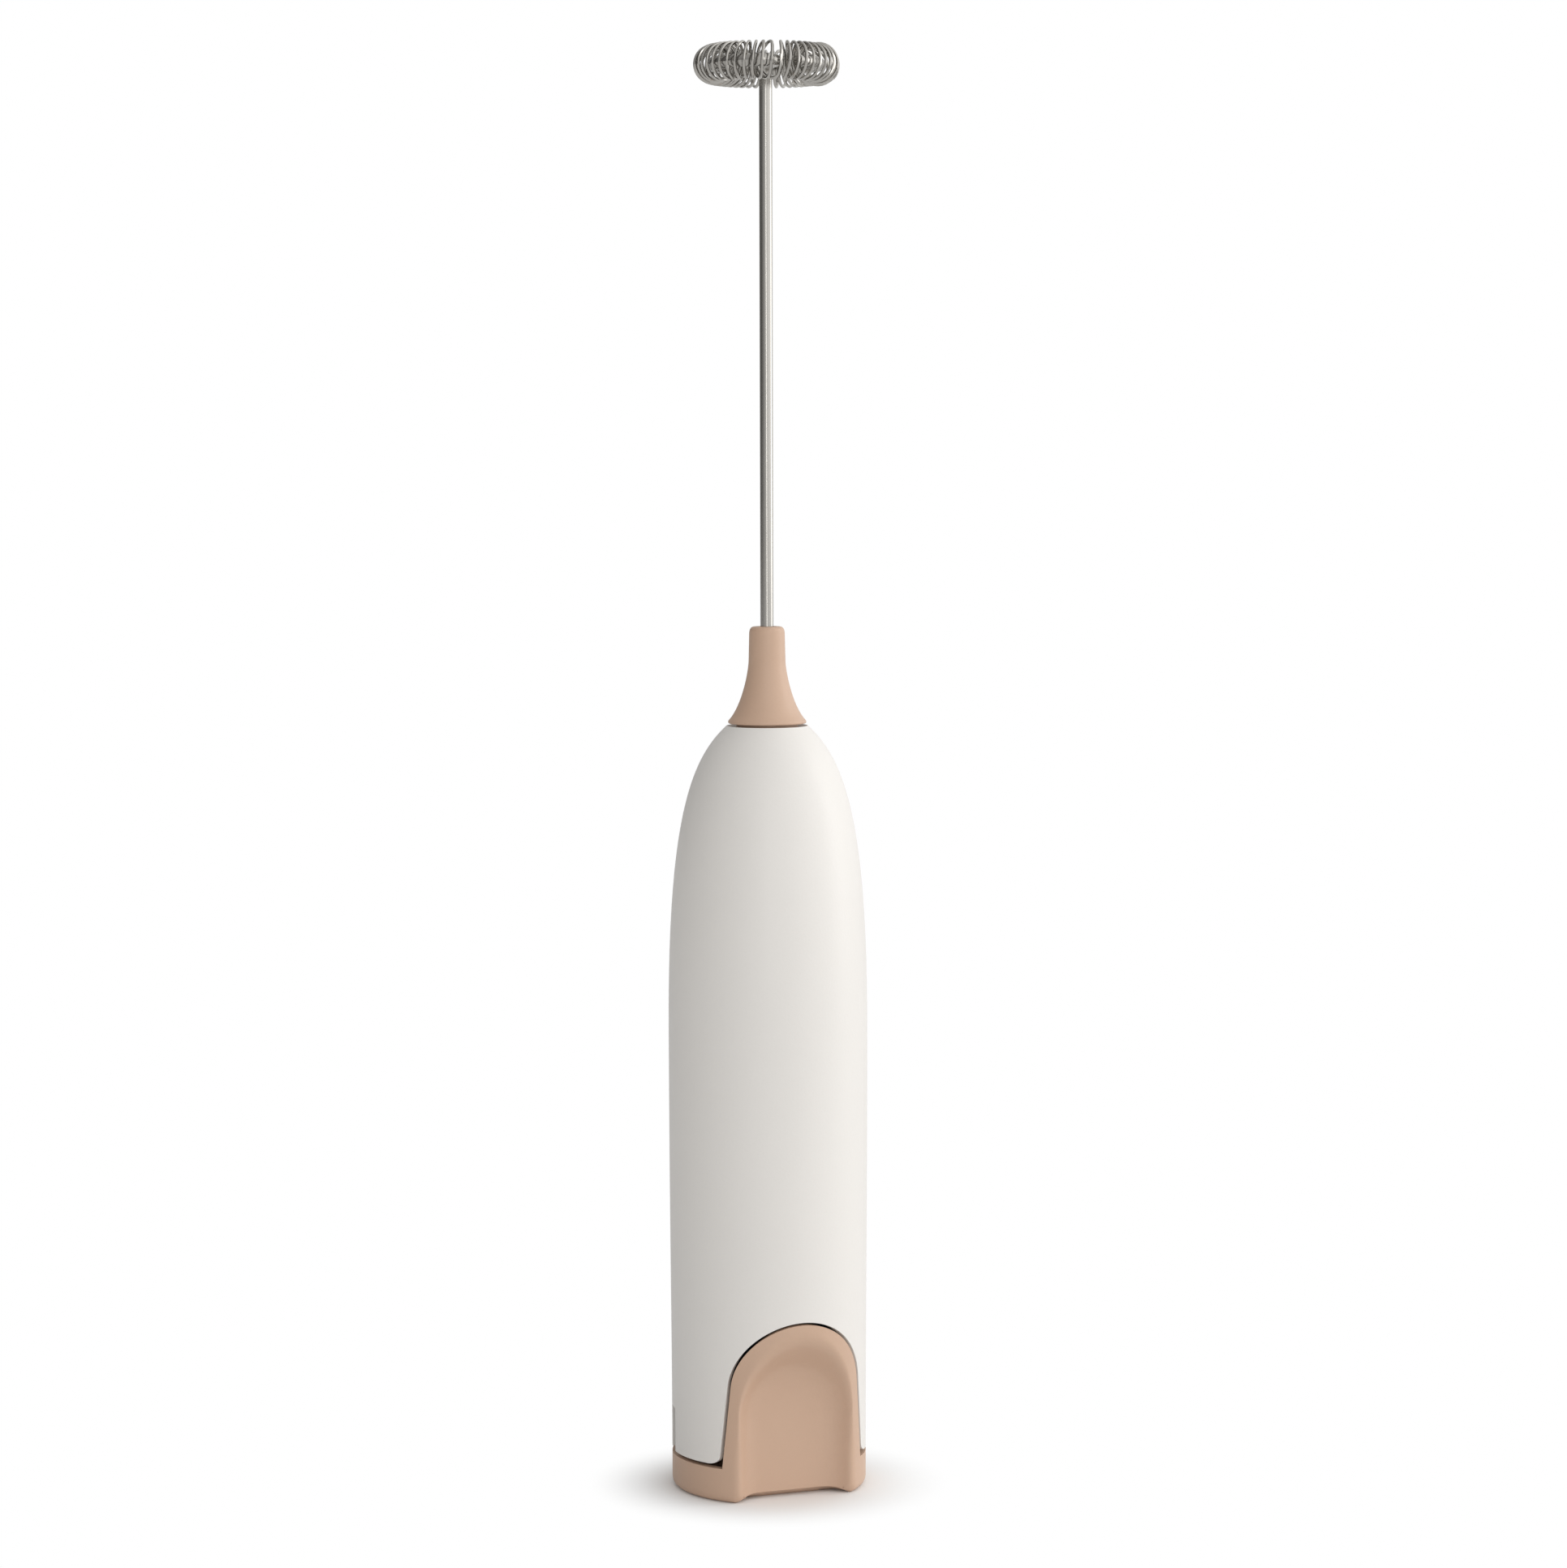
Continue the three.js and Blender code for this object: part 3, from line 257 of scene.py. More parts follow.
NOTCH_ANGLE, NOTCH_TOP, NOTCH_HALF_WIDTH, FOOT_CORNER = 12, 13.1, 1.9, 1.3
half_notch = degrees(asin(NOTCH_HALF_WIDTH / FOOT_R))
NOTCH_FRONT, NOTCH_BACK = 90 + NOTCH_ANGLE - half_notch, 90 + NOTCH_ANGLE + half_notch
SPRING_LINE = arch_top(1, TONGUE_GAP)[1]
CALM = 46  # the height where the rows of faces run level again
CORNER_TURNS = (0, 18, 36, 54, 72)
FOOT_ROWS = [SHELL_BASE + FOOT_CORNER * (1 - cos(radians(a))) for a in CORNER_TURNS]
FOOT_ROWS += spaced(SHELL_BASE + FOOT_CORNER, NOTCH_TOP, 5)
ARCH_ROWS, NOTCH_ROWS = 16, len(FOOT_ROWS)
FOOT_ROWS += spaced(NOTCH_TOP, SPRING_LINE, 3)
TOP_ROWS = spaced(CALM, OGIVE_BASE, 6) + [z for _, z in shell_ogive]
ARCH_COLUMNS, SIDE_COLUMNS, NOTCH_COLUMNS, BACK_COLUMNS = 44, 14, 5, 48
HALF_COLUMNS = SIDE_COLUMNS + NOTCH_COLUMNS + BACK_COLUMNS // 2


def side_angle(step, z):
    """Degrees round from the front of a column behind the cut-out, at a height."""
    under = max(0.0, SHELL_BASE + FOOT_CORNER - z)
    corner = FOOT_CORNER - sqrt(FOOT_CORNER**2 - under**2)
    reach = arch_side(min(z, SPRING_LINE), TONGUE_GAP) + corner
    edge = degrees(asin(reach / height_to_radius(shell_foot, min(z, SPRING_LINE))))
    if step <= SIDE_COLUMNS:
        return lerp(edge, NOTCH_FRONT, step / SIDE_COLUMNS)
    if step <= SIDE_COLUMNS + NOTCH_COLUMNS:
        return lerp(NOTCH_FRONT, NOTCH_BACK, (step - SIDE_COLUMNS) / NOTCH_COLUMNS)
    return lerp(NOTCH_BACK, 180, (step - SIDE_COLUMNS - NOTCH_COLUMNS) * 2 / BACK_COLUMNS)


def shell_place(column, row):
    """Where a point of the casing's skin lies."""
    x, arch_z = arch_top(min(column / ARCH_COLUMNS, 1), TONGUE_GAP)
    if row < len(FOOT_ROWS):
        z = FOOT_ROWS[row]
    elif row < len(FOOT_ROWS) + ARCH_ROWS:
        z = lerp(arch_z, CALM, (row - len(FOOT_ROWS)) / ARCH_ROWS)
    else:
        z = TOP_ROWS[row - len(FOOT_ROWS) - ARCH_ROWS]
    r = height_to_radius(shell_foot + shell_ogive, z)
    if column <= ARCH_COLUMNS and row >= len(FOOT_ROWS):
        angle = asin(x / height_to_radius(shell_foot, arch_z))
    else:
        step = column - ARCH_COLUMNS
        back_step = 2 * HALF_COLUMNS - step
        angle = side_angle(step, z) if step < back_step else 360 - side_angle(back_step, z)
        angle = radians(angle)
    return r * sin(angle), -r * cos(angle), z


def shell_keeps(column, row):
    """Whether a face is skin, and not part of the arch or of a notch."""
    step = column - ARCH_COLUMNS
    nearer = min(step, 2 * HALF_COLUMNS - 1 - step)
    in_notch = SIDE_COLUMNS <= nearer < SIDE_COLUMNS + NOTCH_COLUMNS and row < NOTCH_ROWS
    return row >= len(FOOT_ROWS) if step < 0 else not in_notch


bm = bent_grid(
    ARCH_COLUMNS + 2 * HALF_COLUMNS,
    len(FOOT_ROWS) + ARCH_ROWS + len(TOP_ROWS) - 1,
    shell_keeps,
    shell_place,
)
shell = finished(
    "shell_moulding", bm, [white_plastic], "handle", "white_plastic", "handle_shell"
)
SHELL_EDGE = 0.28
walled(shell, SHELL_WALL, SHELL_EDGE)


# ---- Nose cone ------------------------------------------------------------------------------
# A flared moulding in the same tan plastic as the end cap. It plugs into the neck of the shell
# and holds the bush that guides the whisk's wire.


def turned(outline, steps=96, x=0.0):
    """A closed outline of (radius, height) turned about an upright line at x."""
    bm = bmesh.new()
    verts = [bm.verts.new((r * MM, 0, z * MM)) for r, z in outline]
    edges = [bm.edges.new(pair) for pair in zip(verts, verts[1:])]
    bmesh.ops.spin(
        bm, geom=verts + edges, cent=(0, 0, 0), axis=(0, 0, 1), dvec=(0, 0, 0), angle=2 * pi,
        steps=steps, use_merge=True,
    )
    bmesh.ops.translate(bm, verts=bm.verts[:], vec=(x * MM, 0, 0))
    bmesh.ops.remove_doubles(bm, verts=bm.verts[:], dist=1e-6)
    bmesh.ops.recalc_face_normals(bm, faces=bm.faces[:])
    return bm


tan_plastic = plastic("satin_tan_plastic", (0.58, 0.395, 0.285), 0.46, mottle=0.04, coat=0.05)

nose_low, nose_high = (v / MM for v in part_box("nose_cone"))
NOSE_BASE, NOSE_TIP = nose_low.z, nose_high.z
PLUG_R, PLUG_LENGTH, SEAT_R, SEAT_DEPTH, HOLE_R, TIP_R = 4.9, 3, 2.9, 5.4, 1.35, 2.95
FLANGE_BASE = NOSE_BASE + PLUG_LENGTH
SEAT_TOP = NOSE_BASE + SEAT_DEPTH
nose_outline = (
    [(SEAT_R, NOSE_BASE), (PLUG_R, NOSE_BASE), (PLUG_R, FLANGE_BASE), (6.0, FLANGE_BASE)]
    + [(6.18, FLANGE_BASE + 0.05), (6.27, FLANGE_BASE + 0.2), (6.26, FLANGE_BASE + 0.38)]
    + bezier(
        (6.2, FLANGE_BASE + 0.5), (4.1, FLANGE_BASE + 2.7), (TIP_R, FLANGE_BASE + 8.3),
        (TIP_R, FLANGE_BASE + 10.3), points=28,
    )
    + bezier(
        (2.85, NOSE_TIP - 1.1), (2.8, NOSE_TIP - 0.3), (2.55, NOSE_TIP),
        (1.85, NOSE_TIP), points=8,
    )
    + [(1.5, NOSE_TIP), (HOLE_R, NOSE_TIP - 0.15), (HOLE_R, SEAT_TOP)]
    + [(SEAT_R, SEAT_TOP), (SEAT_R, NOSE_BASE)]
)
finished(
    "nose_moulding", turned(nose_outline), [tan_plastic], "handle", "tan_plastic", "nose_cone"
)


# ---- Whisk ----------------------------------------------------------------------------------
# One spring steel wire runs from the coupling up to the whisk, bends out to a spoke and is
# rolled into a ring. A fine coil spring is threaded on the ring before it is closed.


def wire_mesh(name, points, radius, resolution):
    """A round wire through points, in millimetres."""
    curve = bpy.data.curves.new(name + "_line", "CURVE")
    curve.dimensions = "3D"
    curve.bevel_depth = radius * MM
    curve.bevel_resolution = resolution
    curve.use_fill_caps = True
    spline = curve.splines.new("POLY")
    spline.points.add(len(points) - 1)
    for point, place in zip(spline.points, points):
        point.co = (*(v * MM for v in place), 1)
    return bpy.data.meshes.new_from_object(bpy.data.objects.new(name + "_line", curve))


# Steel as it comes off the drawing die: faint lines along it and a little uneven shine.
drawn, drawn_in, drawn_out = node_group(
    "drawn_marks",
    [("Across", 3500), ("Along", 40), ("Strength", 0.12)],
    [("Shade", "NodeSocketFloat"), ("Gloss", "NodeSocketFloat"), ("Height", "NodeSocketFloat")],
)
drawn_place = drawn.nodes.new("ShaderNodeTexCoord").outputs["Object"]
stretch = drawn.nodes.new("ShaderNodeVectorMath")
stretch.operation = "MULTIPLY"
across = drawn.nodes.new("ShaderNodeCombineXYZ")
for axis, label in (("X", "Across"), ("Y", "Across"), ("Z", "Along")):
    drawn.links.new(drawn_in.outputs[label], across.inputs[axis])
drawn.links.new(drawn_place, stretch.inputs[0])
drawn.links.new(across.outputs["Vector"], stretch.inputs[1])
lines = noise(drawn, stretch.outputs["Vector"], 1, 3, 0.6)
patches = noise(drawn, drawn_place, 160, 3)
average = math(drawn, "MULTIPLY", math(drawn, "ADD", lines, patches), 0.5)
uneven = math(drawn, "SUBTRACT", average, 0.5)
strong = math(drawn, "MULTIPLY", uneven, drawn_in.outputs["Strength"])
drawn.links.new(math(drawn, "ADD", strong, 1.0), drawn_out.inputs["Shade"])
drawn.links.new(strong, drawn_out.inputs["Gloss"])
drawn.links.new(lines, drawn_out.inputs["Height"])


def metal(name, colour, roughness, marks=0.25, along=60, depth=0.004):
    """A bare metal with the marks that drawing or pressing leaves on it."""
    material = bpy.data.materials.new(name)
    material.use_nodes = True
    tree = material.node_tree
    shader = tree.nodes["Principled BSDF"]
    shader.inputs["Metallic"].default_value = 1
    effect = tree.nodes.new("ShaderNodeGroup")
    effect.node_tree = drawn
    effect.inputs["Along"].default_value = along
    effect.inputs["Strength"].default_value = marks
    tint = tree.nodes.new("ShaderNodeMix")
    tint.data_type = "RGBA"
    tint.blend_type = "MULTIPLY"
    tint.inputs["Factor"].default_value = 1
    tint.inputs["A"].default_value = (*colour, 1)
    tree.links.new(effect.outputs["Shade"], tint.inputs["B"])
    tree.links.new(tint.outputs["Result"], shader.inputs["Base Color"])
    rough = math(tree, "ADD", effect.outputs["Gloss"], roughness)
    tree.links.new(rough, shader.inputs["Roughness"])
    bump = tree.nodes.new("ShaderNodeBump")
    bump.inputs["Strength"].default_value = 0.4
    bump.inputs["Distance"].default_value = depth * MM
    tree.links.new(effect.outputs["Height"], bump.inputs["Height"])
    tree.links.new(bump.outputs["Normal"], shader.inputs["Normal"])
    return material


bright_steel = metal("bright_spring_steel", (0.45, 0.435, 0.41), 0.17, marks=0.07, depth=0.0008)

wire_low, wire_high = (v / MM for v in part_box("whisk_wire"))
WIRE_R, SPOKE_BEND, ELBOW_BEND, RING_R = 1.05, 2.3, 2.0, 8.4
RING_Z = wire_high.z - WIRE_R
SPOKE = radians(-98)
RING_SWEEP = radians(322)
STEM_STEPS, RING_STEPS, SETTLE_RATE = 40, 120, 6


def ring_point(angle, radius, z):
    """A point at an angle and a distance round the whisk's axis."""
    return radius * cos(angle), radius * sin(angle), z


def arc(start, along, toward, radius, steps=14):
    """A quarter bend that leaves start along one direction and ends along another."""
    turns = [pi / 2 * i / steps for i in range(steps + 1)]
    start, along, toward = Vector(start), Vector(along), Vector(toward)
    return [start + along * (radius * sin(t)) + toward * (radius * (1 - cos(t))) for t in turns]


outward = Vector(ring_point(SPOKE, 1, 0))
sideways = Vector(ring_point(SPOKE - pi / 2, 1, 0))
stem_top = RING_Z - SPOKE_BEND
stem = [(0, 0, lerp(wire_low.z, stem_top, i / STEM_STEPS)) for i in range(STEM_STEPS)]
bend = arc((0, 0, stem_top), (0, 0, 1), outward, SPOKE_BEND)
elbow_start = outward * (RING_R - ELBOW_BEND) + Vector((0, 0, RING_Z))
elbow = arc(elbow_start, outward, sideways, ELBOW_BEND)
ring_start = elbow[-1]
first_angle = atan2(ring_start.y, ring_start.x)
first_r = hypot(ring_start.x, ring_start.y)
ring = []
for i in range(1, RING_STEPS + 1):
    settle = min(1, SETTLE_RATE * i / RING_STEPS)
    turned_to = first_angle - RING_SWEEP * i / RING_STEPS
    ring.append(ring_point(turned_to, lerp(first_r, RING_R, settle), RING_Z))
wire = wire_mesh("whisk_wire", stem + bend + elbow + ring, WIRE_R, 5)
finished_mesh(
    "whisk_stem_and_ring", wire, [bright_steel], "whisk_drive", "steel_wire", "whisk_wire"
)

COIL_R, COIL_WIRE_R, COIL_TURNS, COIL_SPAN = 2.83, 0.25, 47, 352
COIL_SWELL, SWELL_REACH, COIL_JOINT, PARTING_REACH, PARTING_FOCUS = 0.35, 14, -20, 68, 3
SPOKE_ROOM, PARTING = 0.3, 1.25
coil_start = COIL_JOINT + (360 - COIL_SPAN) / 2
at_spoke = ((degrees(SPOKE) - coil_start) % 360) / COIL_SPAN
room = degrees(asin((WIRE_R + COIL_WIRE_R + SPOKE_ROOM) / (RING_R - COIL_R)))
spread = PARTING * room - COIL_SPAN / COIL_TURNS / 2


def coil_point(t):
    """A point of the coil spring. Its turns part where the spoke passes between them."""
    wound = 2 * pi * COIL_TURNS * (t - at_spoke)
    inward = ((1 - cos(wound)) / 2) ** PARTING_FOCUS
    from_spoke = COIL_SPAN * (t - at_spoke)
    parted = spread * exp(-abs(from_spoke) / PARTING_REACH) * (1 if from_spoke > 0 else -1)
    from_end = min(t, 1 - t) * COIL_SPAN
    radius = COIL_R + COIL_SWELL * exp(-((from_end / SWELL_REACH) ** 2))
    angle = radians(coil_start + COIL_SPAN * t + parted * inward)
    return ring_point(angle, RING_R + radius * cos(wound), RING_Z + radius * sin(wound))


STEPS_PER_TURN = 32
coil_steps = COIL_TURNS * STEPS_PER_TURN
coil_points = [coil_point(i / coil_steps) for i in range(coil_steps + 1)]
coil = wire_mesh("whisk_coil", coil_points, COIL_WIRE_R, 2)
finished_mesh(
    "whisk_coil_spring", coil, [bright_steel], "whisk_drive", "steel_wire", "whisk_coil"
)


# ---- Cells ----------------------------------------------------------------------------------
# Two alkaline cells stand side by side, one nub up and one nub down. Each is a plated steel
# can in a film jacket, which is shrunk over both edges and leaves the ends bare.

jacket_film = plastic("cell_jacket_film", (0.035, 0.06, 0.08), 0.3, coat=0.3)
nickel = metal("nickel_plated_can", (0.66, 0.65, 0.63), 0.28)
NUB_R, NUB_HEIGHT, BARE_R, LIP, EDGE = 2.75, 1.0, 5.3, 0.12, 0.5
END_RING_FOOT, END_RING_WIDTH, NUB_FLARE, NUB_FOOT, NUB_EDGE = 0.6, 0.5, 0.3, 0.1, 0.2
EDGE_CUT, CELL_STEPS, FILM_SLACK = 0.3 * EDGE, 64, 0.05

for name, nub_up in (("battery_left", True), ("battery_right", False)):
    low, high = (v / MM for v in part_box(name))
    cell_r, middle = (high.x - low.x) / 2, (high.x + low.x) / 2
    shoulder = high.z - low.z - NUB_HEIGHT
    cell_outline = [(0, LIP), (BARE_R - END_RING_FOOT, LIP), (BARE_R - END_RING_WIDTH, 2 * LIP)]
    cell_outline += [(BARE_R, 2 * LIP), (BARE_R, 0), (cell_r - EDGE, 0)]
    cell_outline += [(cell_r - EDGE_CUT, EDGE_CUT), (cell_r, EDGE), (cell_r, shoulder - EDGE)]
    cell_outline += [(cell_r - EDGE_CUT, shoulder - EDGE_CUT), (cell_r - EDGE, shoulder)]
    cell_outline += [(BARE_R, shoulder), (BARE_R, shoulder - LIP)]
    cell_outline += [(NUB_R + NUB_FLARE, shoulder - LIP), (NUB_R, shoulder + NUB_FOOT)]
    cell_outline += [(NUB_R, shoulder + NUB_HEIGHT - NUB_EDGE)]
    cell_outline += [(NUB_R - NUB_EDGE, shoulder + NUB_HEIGHT), (0, shoulder + NUB_HEIGHT)]
    set_up = [(r, low.z + h if nub_up else high.z - h) for r, h in cell_outline]
    bm = turned(set_up, CELL_STEPS, middle)
    for face in bm.faces:
        centre = face.calc_center_median() / MM
        bare = hypot(centre.x - middle, centre.y) < BARE_R - FILM_SLACK
        face.material_index = 1 if bare else 0
    finished(f"{name}_cell", bm, [jacket_film, nickel], "handle", "cell_jacket", name)


# ---- End cap --------------------------------------------------------------------------------
# The tan cap is the switch: a ring round the foot with a tongue that fills the shell's arch,
# moulded in one piece and held to the battery door by two screws. A thumb groove with sloping
# walls is sunk in the tongue and runs out through the base.

cap_low, cap_high = (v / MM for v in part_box("end_cap"))
CAP_R, CAP_HEIGHT, CAP_FILLET, CAP_WALL = cap_high.x, 5.5, 1.3, 1.4
GROOVE_HALF_WIDTH, GROOVE_TOP, PAD_Y = 7.2, 20.5, -10.0
GROOVE_CENTRE = GROOVE_TOP - GROOVE_HALF_WIDTH
TOE_HEIGHT, TOE_Y = 1.1, -8.1
BAND_ANGLE = asin(arch_side(CAP_HEIGHT, 0) / CAP_R)
# The groove's rim and the foot of its wall are rounded, and more so over the top of the groove.
SOFT_RIM, SOFT_RIM_GAIN, SOFT_FOOT, SOFT_FOOT_GAIN, SOFT_FOOT_LIMIT = 0.9, 1.0, 1.9, 2.4, 2.2
LEAST_FACE = 0.9
NEAR = 0.01  # what still counts as level, or as on an edge


def cap_radius(z):
    """The outside of the cap, with its rounded bottom edge."""
    under = max(0.0, CAP_FILLET - z)
    return CAP_R - CAP_FILLET + sqrt(CAP_FILLET**2 - under**2)


def rim_reach(z, around):
    """How far the groove's sloping wall runs outward before it meets the outside."""
    r, depth, across = cap_radius(z), -PAD_Y, cos(around)
    a = 1 + across**2
    b = 2 * (depth + GROOVE_HALF_WIDTH * across**2)
    c = depth**2 + (GROOVE_HALF_WIDTH * across) ** 2 - r**2
    return (-b + sqrt(b * b - 4 * a * c)) / (2 * a)


FILLET_TURNS = (0, 18, 36, 54, 72)
RING_ROWS = [CAP_FILLET * (1 - cos(radians(a))) for a in FILLET_TURNS]
RING_ROWS += spaced(CAP_FILLET, CAP_HEIGHT, 3) + [CAP_HEIGHT]
STRAIGHT_ROWS, OVER_STEPS = 7, 48
SIDE_STEPS = len(RING_ROWS) - 1 + STRAIGHT_ROWS
U_STEPS = 2 * SIDE_STEPS + OVER_STEPS
FACE_LANES, ROUND_LANES, WALL_LANES = 4, 6, 2
LANES = FACE_LANES + 2 * ROUND_LANES + WALL_LANES


def key_points(step):
    """The tongue's edge, the groove's rim and the edge of its floor, at a step along the arch
    from its left foot over the top to its right foot, and which way round that is."""
    left = step < SIDE_STEPS
    along = step if left else U_STEPS - step
    if along >= SIDE_STEPS:
        share = (step - SIDE_STEPS) / OVER_STEPS
        around = pi * (1 - share)
        edge_x, edge_z = arch_top(share, 0)
        reach = rim_reach(CAP_HEIGHT, around)
        rim = Vector(((GROOVE_HALF_WIDTH + reach) * cos(around), PAD_Y - reach, 0))
        rim.z = GROOVE_CENTRE + (GROOVE_HALF_WIDTH + reach) * sin(around)
        foot = GROOVE_HALF_WIDTH * cos(around), GROOVE_CENTRE + GROOVE_HALF_WIDTH * sin(around)
        return (edge_x, edge_z), rim, Vector((foot[0], PAD_Y, foot[1])), around
    sign = -1 if left else 1
    if along < len(RING_ROWS):
        z = RING_ROWS[along]
        edge = (sign * cap_radius(z) * sin(BAND_ANGLE), z)
        groove_z = z
        floor_z = lerp(TOE_HEIGHT, CAP_HEIGHT, z / CAP_HEIGHT)
    else:
        share = (along - len(RING_ROWS) + 1) / STRAIGHT_ROWS
        edge_z = lerp(CAP_HEIGHT, arch_top(0, 0)[1], share)
        edge = (sign * arch_side(edge_z, 0), edge_z)
        groove_z = floor_z = lerp(CAP_HEIGHT, GROOVE_CENTRE, share)
    reach = rim_reach(groove_z, 0)
    rim = Vector((sign * (GROOVE_HALF_WIDTH + reach), PAD_Y - reach, groove_z))
    return edge, rim, Vector((sign * GROOVE_HALF_WIDTH, PAD_Y, floor_z)), pi if left else 0.0


def rounded_corner(a, corner, b, share):
    """A point of the curve that leaves a toward the corner and arrives at b from it."""
    return a.lerp(corner, share).lerp(corner.lerp(b, share), share)


def cap_place(step, lane):
    """Where a point of the tongue lies: face, rounded rim, groove wall, then rounded foot."""
    (edge_x, edge_z), rim, foot, around = key_points(step)
    rise = sin(around)
    soft_rim = SOFT_RIM + SOFT_RIM_GAIN * rise
    soft_foot = SOFT_FOOT + SOFT_FOOT_GAIN * rise
    rim_share = 1 - soft_rim / hypot(edge_x - rim.x, edge_z - rim.z, LEAST_FACE)

    def face(share, rim_z=rim.z):
        """A point of the tongue's round face, between its edge and the groove."""
        x, z = lerp(edge_x, rim.x, share), lerp(edge_z, rim_z, share)
        return Vector((x, -sqrt(cap_radius(z) ** 2 - x * x), z))

    if lane <= FACE_LANES:
        return face(rim_share * lane / FACE_LANES)
    if rise < NEAR:  # the undercut's edge climbs from the rim to the floor
        rim.z += (foot.z - rim.z) / 2
    slope = (foot - rim).normalized()
    wall_top, wall_low = rim + slope * soft_rim, foot - slope * min(soft_foot, SOFT_FOOT_LIMIT)
    lane -= FACE_LANES
    if lane <= ROUND_LANES:
        return rounded_corner(face(rim_share), rim, wall_top, lane / ROUND_LANES)
    lane -= ROUND_LANES
    if lane < WALL_LANES:
        return wall_top.lerp(wall_low, lane / WALL_LANES)
    lane -= WALL_LANES
    inward = Vector((-cos(around), 0, -rise)) * soft_foot
    return rounded_corner(wall_low, foot, foot + inward, lane / ROUND_LANES)


cap = bent_grid(U_STEPS, LANES, lambda column, row: True, cap_place)
BAND_COLUMNS = 84


def band_place(column, row):
    """Where a point of the ring round the foot lies."""
    angle = lerp(BAND_ANGLE, 2 * pi - BAND_ANGLE, column / BAND_COLUMNS)
    r = cap_radius(RING_ROWS[row])
    return r * sin(angle), -r * cos(angle), RING_ROWS[row]


band = bent_grid(BAND_COLUMNS, len(RING_ROWS) - 1, lambda column, row: True, band_place)
band_mesh = bpy.data.meshes.new("cap_band")
band.to_mesh(band_mesh)
band.free()
cap.from_mesh(band_mesh)
bpy.data.meshes.remove(band_mesh)
bmesh.ops.remove_doubles(cap, verts=cap.verts[:], dist=1e-5)


def on_floor(v):
    """Whether a point lies on the floor of the groove."""
    return abs(v.co.y - PAD_Y * MM) < 1e-6


low_points = [v for v in cap.verts if on_floor(v) and v.co.z < (TOE_HEIGHT + NEAR) * MM]
left_foot = max((v for v in low_points if v.co.x < 0), key=lambda v: v.co.x)
right_foot = min((v for v in low_points if v.co.x > 0), key=lambda v: v.co.x)
bmesh.ops.contextual_create(cap, geom=[left_foot, right_foot])
floor_outline = [e for e in cap.edges if all(on_floor(v) for v in e.verts)]
floor_outline = [e for e in floor_outline if e.is_boundary or e.is_wire]
bmesh.ops.contextual_create(cap, geom=floor_outline)

# The undercut below the floor: it slopes from the floor's raised lower edge back to the sole.
toe_reach = (abs(cap_place(0, FACE_LANES)[0]) + NEAR / 2) * MM
toe_edge = [
    e
    for e in cap.edges
    if e.is_boundary
    and all(v.co.z < (TOE_HEIGHT + NEAR) * MM and abs(v.co.x) < toe_reach for v in e.verts)
    and all(v.co.y < (PAD_Y + NEAR) * MM for v in e.verts)
]
for v in bmesh.ops.extrude_edge_only(cap, edges=toe_edge)["geom"]:
    if isinstance(v, bmesh.types.BMVert):
        v.co.yz = TOE_Y * MM, 0
sole = [e for e in cap.edges if e.is_boundary and all(abs(v.co.z) < 1e-6 for v in e.verts)]
bmesh.ops.contextual_create(cap, geom=sole)
bmesh.ops.recalc_face_normals(cap, faces=cap.faces[:])
if min(cap.faces, key=lambda f: f.calc_center_median().z).normal.z > 0:
    bmesh.ops.reverse_faces(cap, faces=cap.faces[:])
end_cap = finished("end_cap_moulding", cap, [tan_plastic], "switch_cap", "tan_plastic", "end_cap")

# The wall runs out to a thin edge in the tight corners round the undercut.
TOE_ROOM, TOE_BEHIND, THIN, CAP_EDGE = 3.0, 0.5, 0.05, 0.2
whole = end_cap.vertex_groups.new(name="wall")
for v in end_cap.data.vertices:
    x, y, z = v.co / MM
    in_depth, in_width = y < TOE_Y + TOE_BEHIND, abs(x) < GROOVE_HALF_WIDTH + TOE_ROOM
    near_toe = z < TOE_ROOM and in_depth and in_width
    whole.add([v.index], THIN if near_toe else 1.0, "REPLACE")
walled(end_cap, CAP_WALL, CAP_EDGE, even=False).modifiers["wall"].vertex_group = "wall"


# ---- Other finishes -------------------------------------------------------------------------
# The pieces inside keep the shapes they have and take the finish of their stock: moulded
# plastics, plated and drawn steel, brass strip, copper, sintered bronze and ferrite.


def dressed(material, *names):
    """Put a finish on CAD nodes that stay as they are."""
    for name in names:
        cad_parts[name].data.materials.clear()
        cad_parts[name].data.materials.append(material)


black_plastic = plastic("black_plastic", (0.03, 0.028, 0.027), 0.5, mottle=0.1)
ivory_plastic = plastic("ivory_plastic", (0.68, 0.64, 0.54), 0.5)
zinc = metal("zinc_plated_steel", (0.62, 0.63, 0.64), 0.36)
brass = metal("brass_strip", (0.69, 0.5, 0.22), 0.3)
copper = metal("copper_wire", (0.75, 0.36, 0.2), 0.35)
bronze = metal("sintered_bronze", (0.42, 0.26, 0.13), 0.55)
ferrite = plastic("ferrite", (0.045, 0.045, 0.05), 0.6)
red_sleeve = plastic("red_sleeve", (0.42, 0.03, 0.02), 0.4)
dressed(black_plastic, "door_frame", "shaft_coupling", "lead_negative")
dressed(ivory_plastic, "chassis", "motor_bell")
dressed(zinc, "motor_can", "armature_core", "cap_screw_front", "cap_screw_rear")
dressed(brass, "top_plate_contact", "door_plate_contact", "bridge_strip")
dressed(
    bright_steel, "top_spring_contact", "door_spring_contact", "return_spring_front",
    "return_spring_rear", "motor_shaft",
)
dressed(
    copper, "winding_1", "winding_2", "winding_3", "commutator", "brush_left", "brush_right"
)
dressed(bronze, "shaft_bush", "motor_bush_front", "motor_bush_rear")
dressed(ferrite, "magnet_left", "magnet_right")
dressed(red_sleeve, "lead_positive")


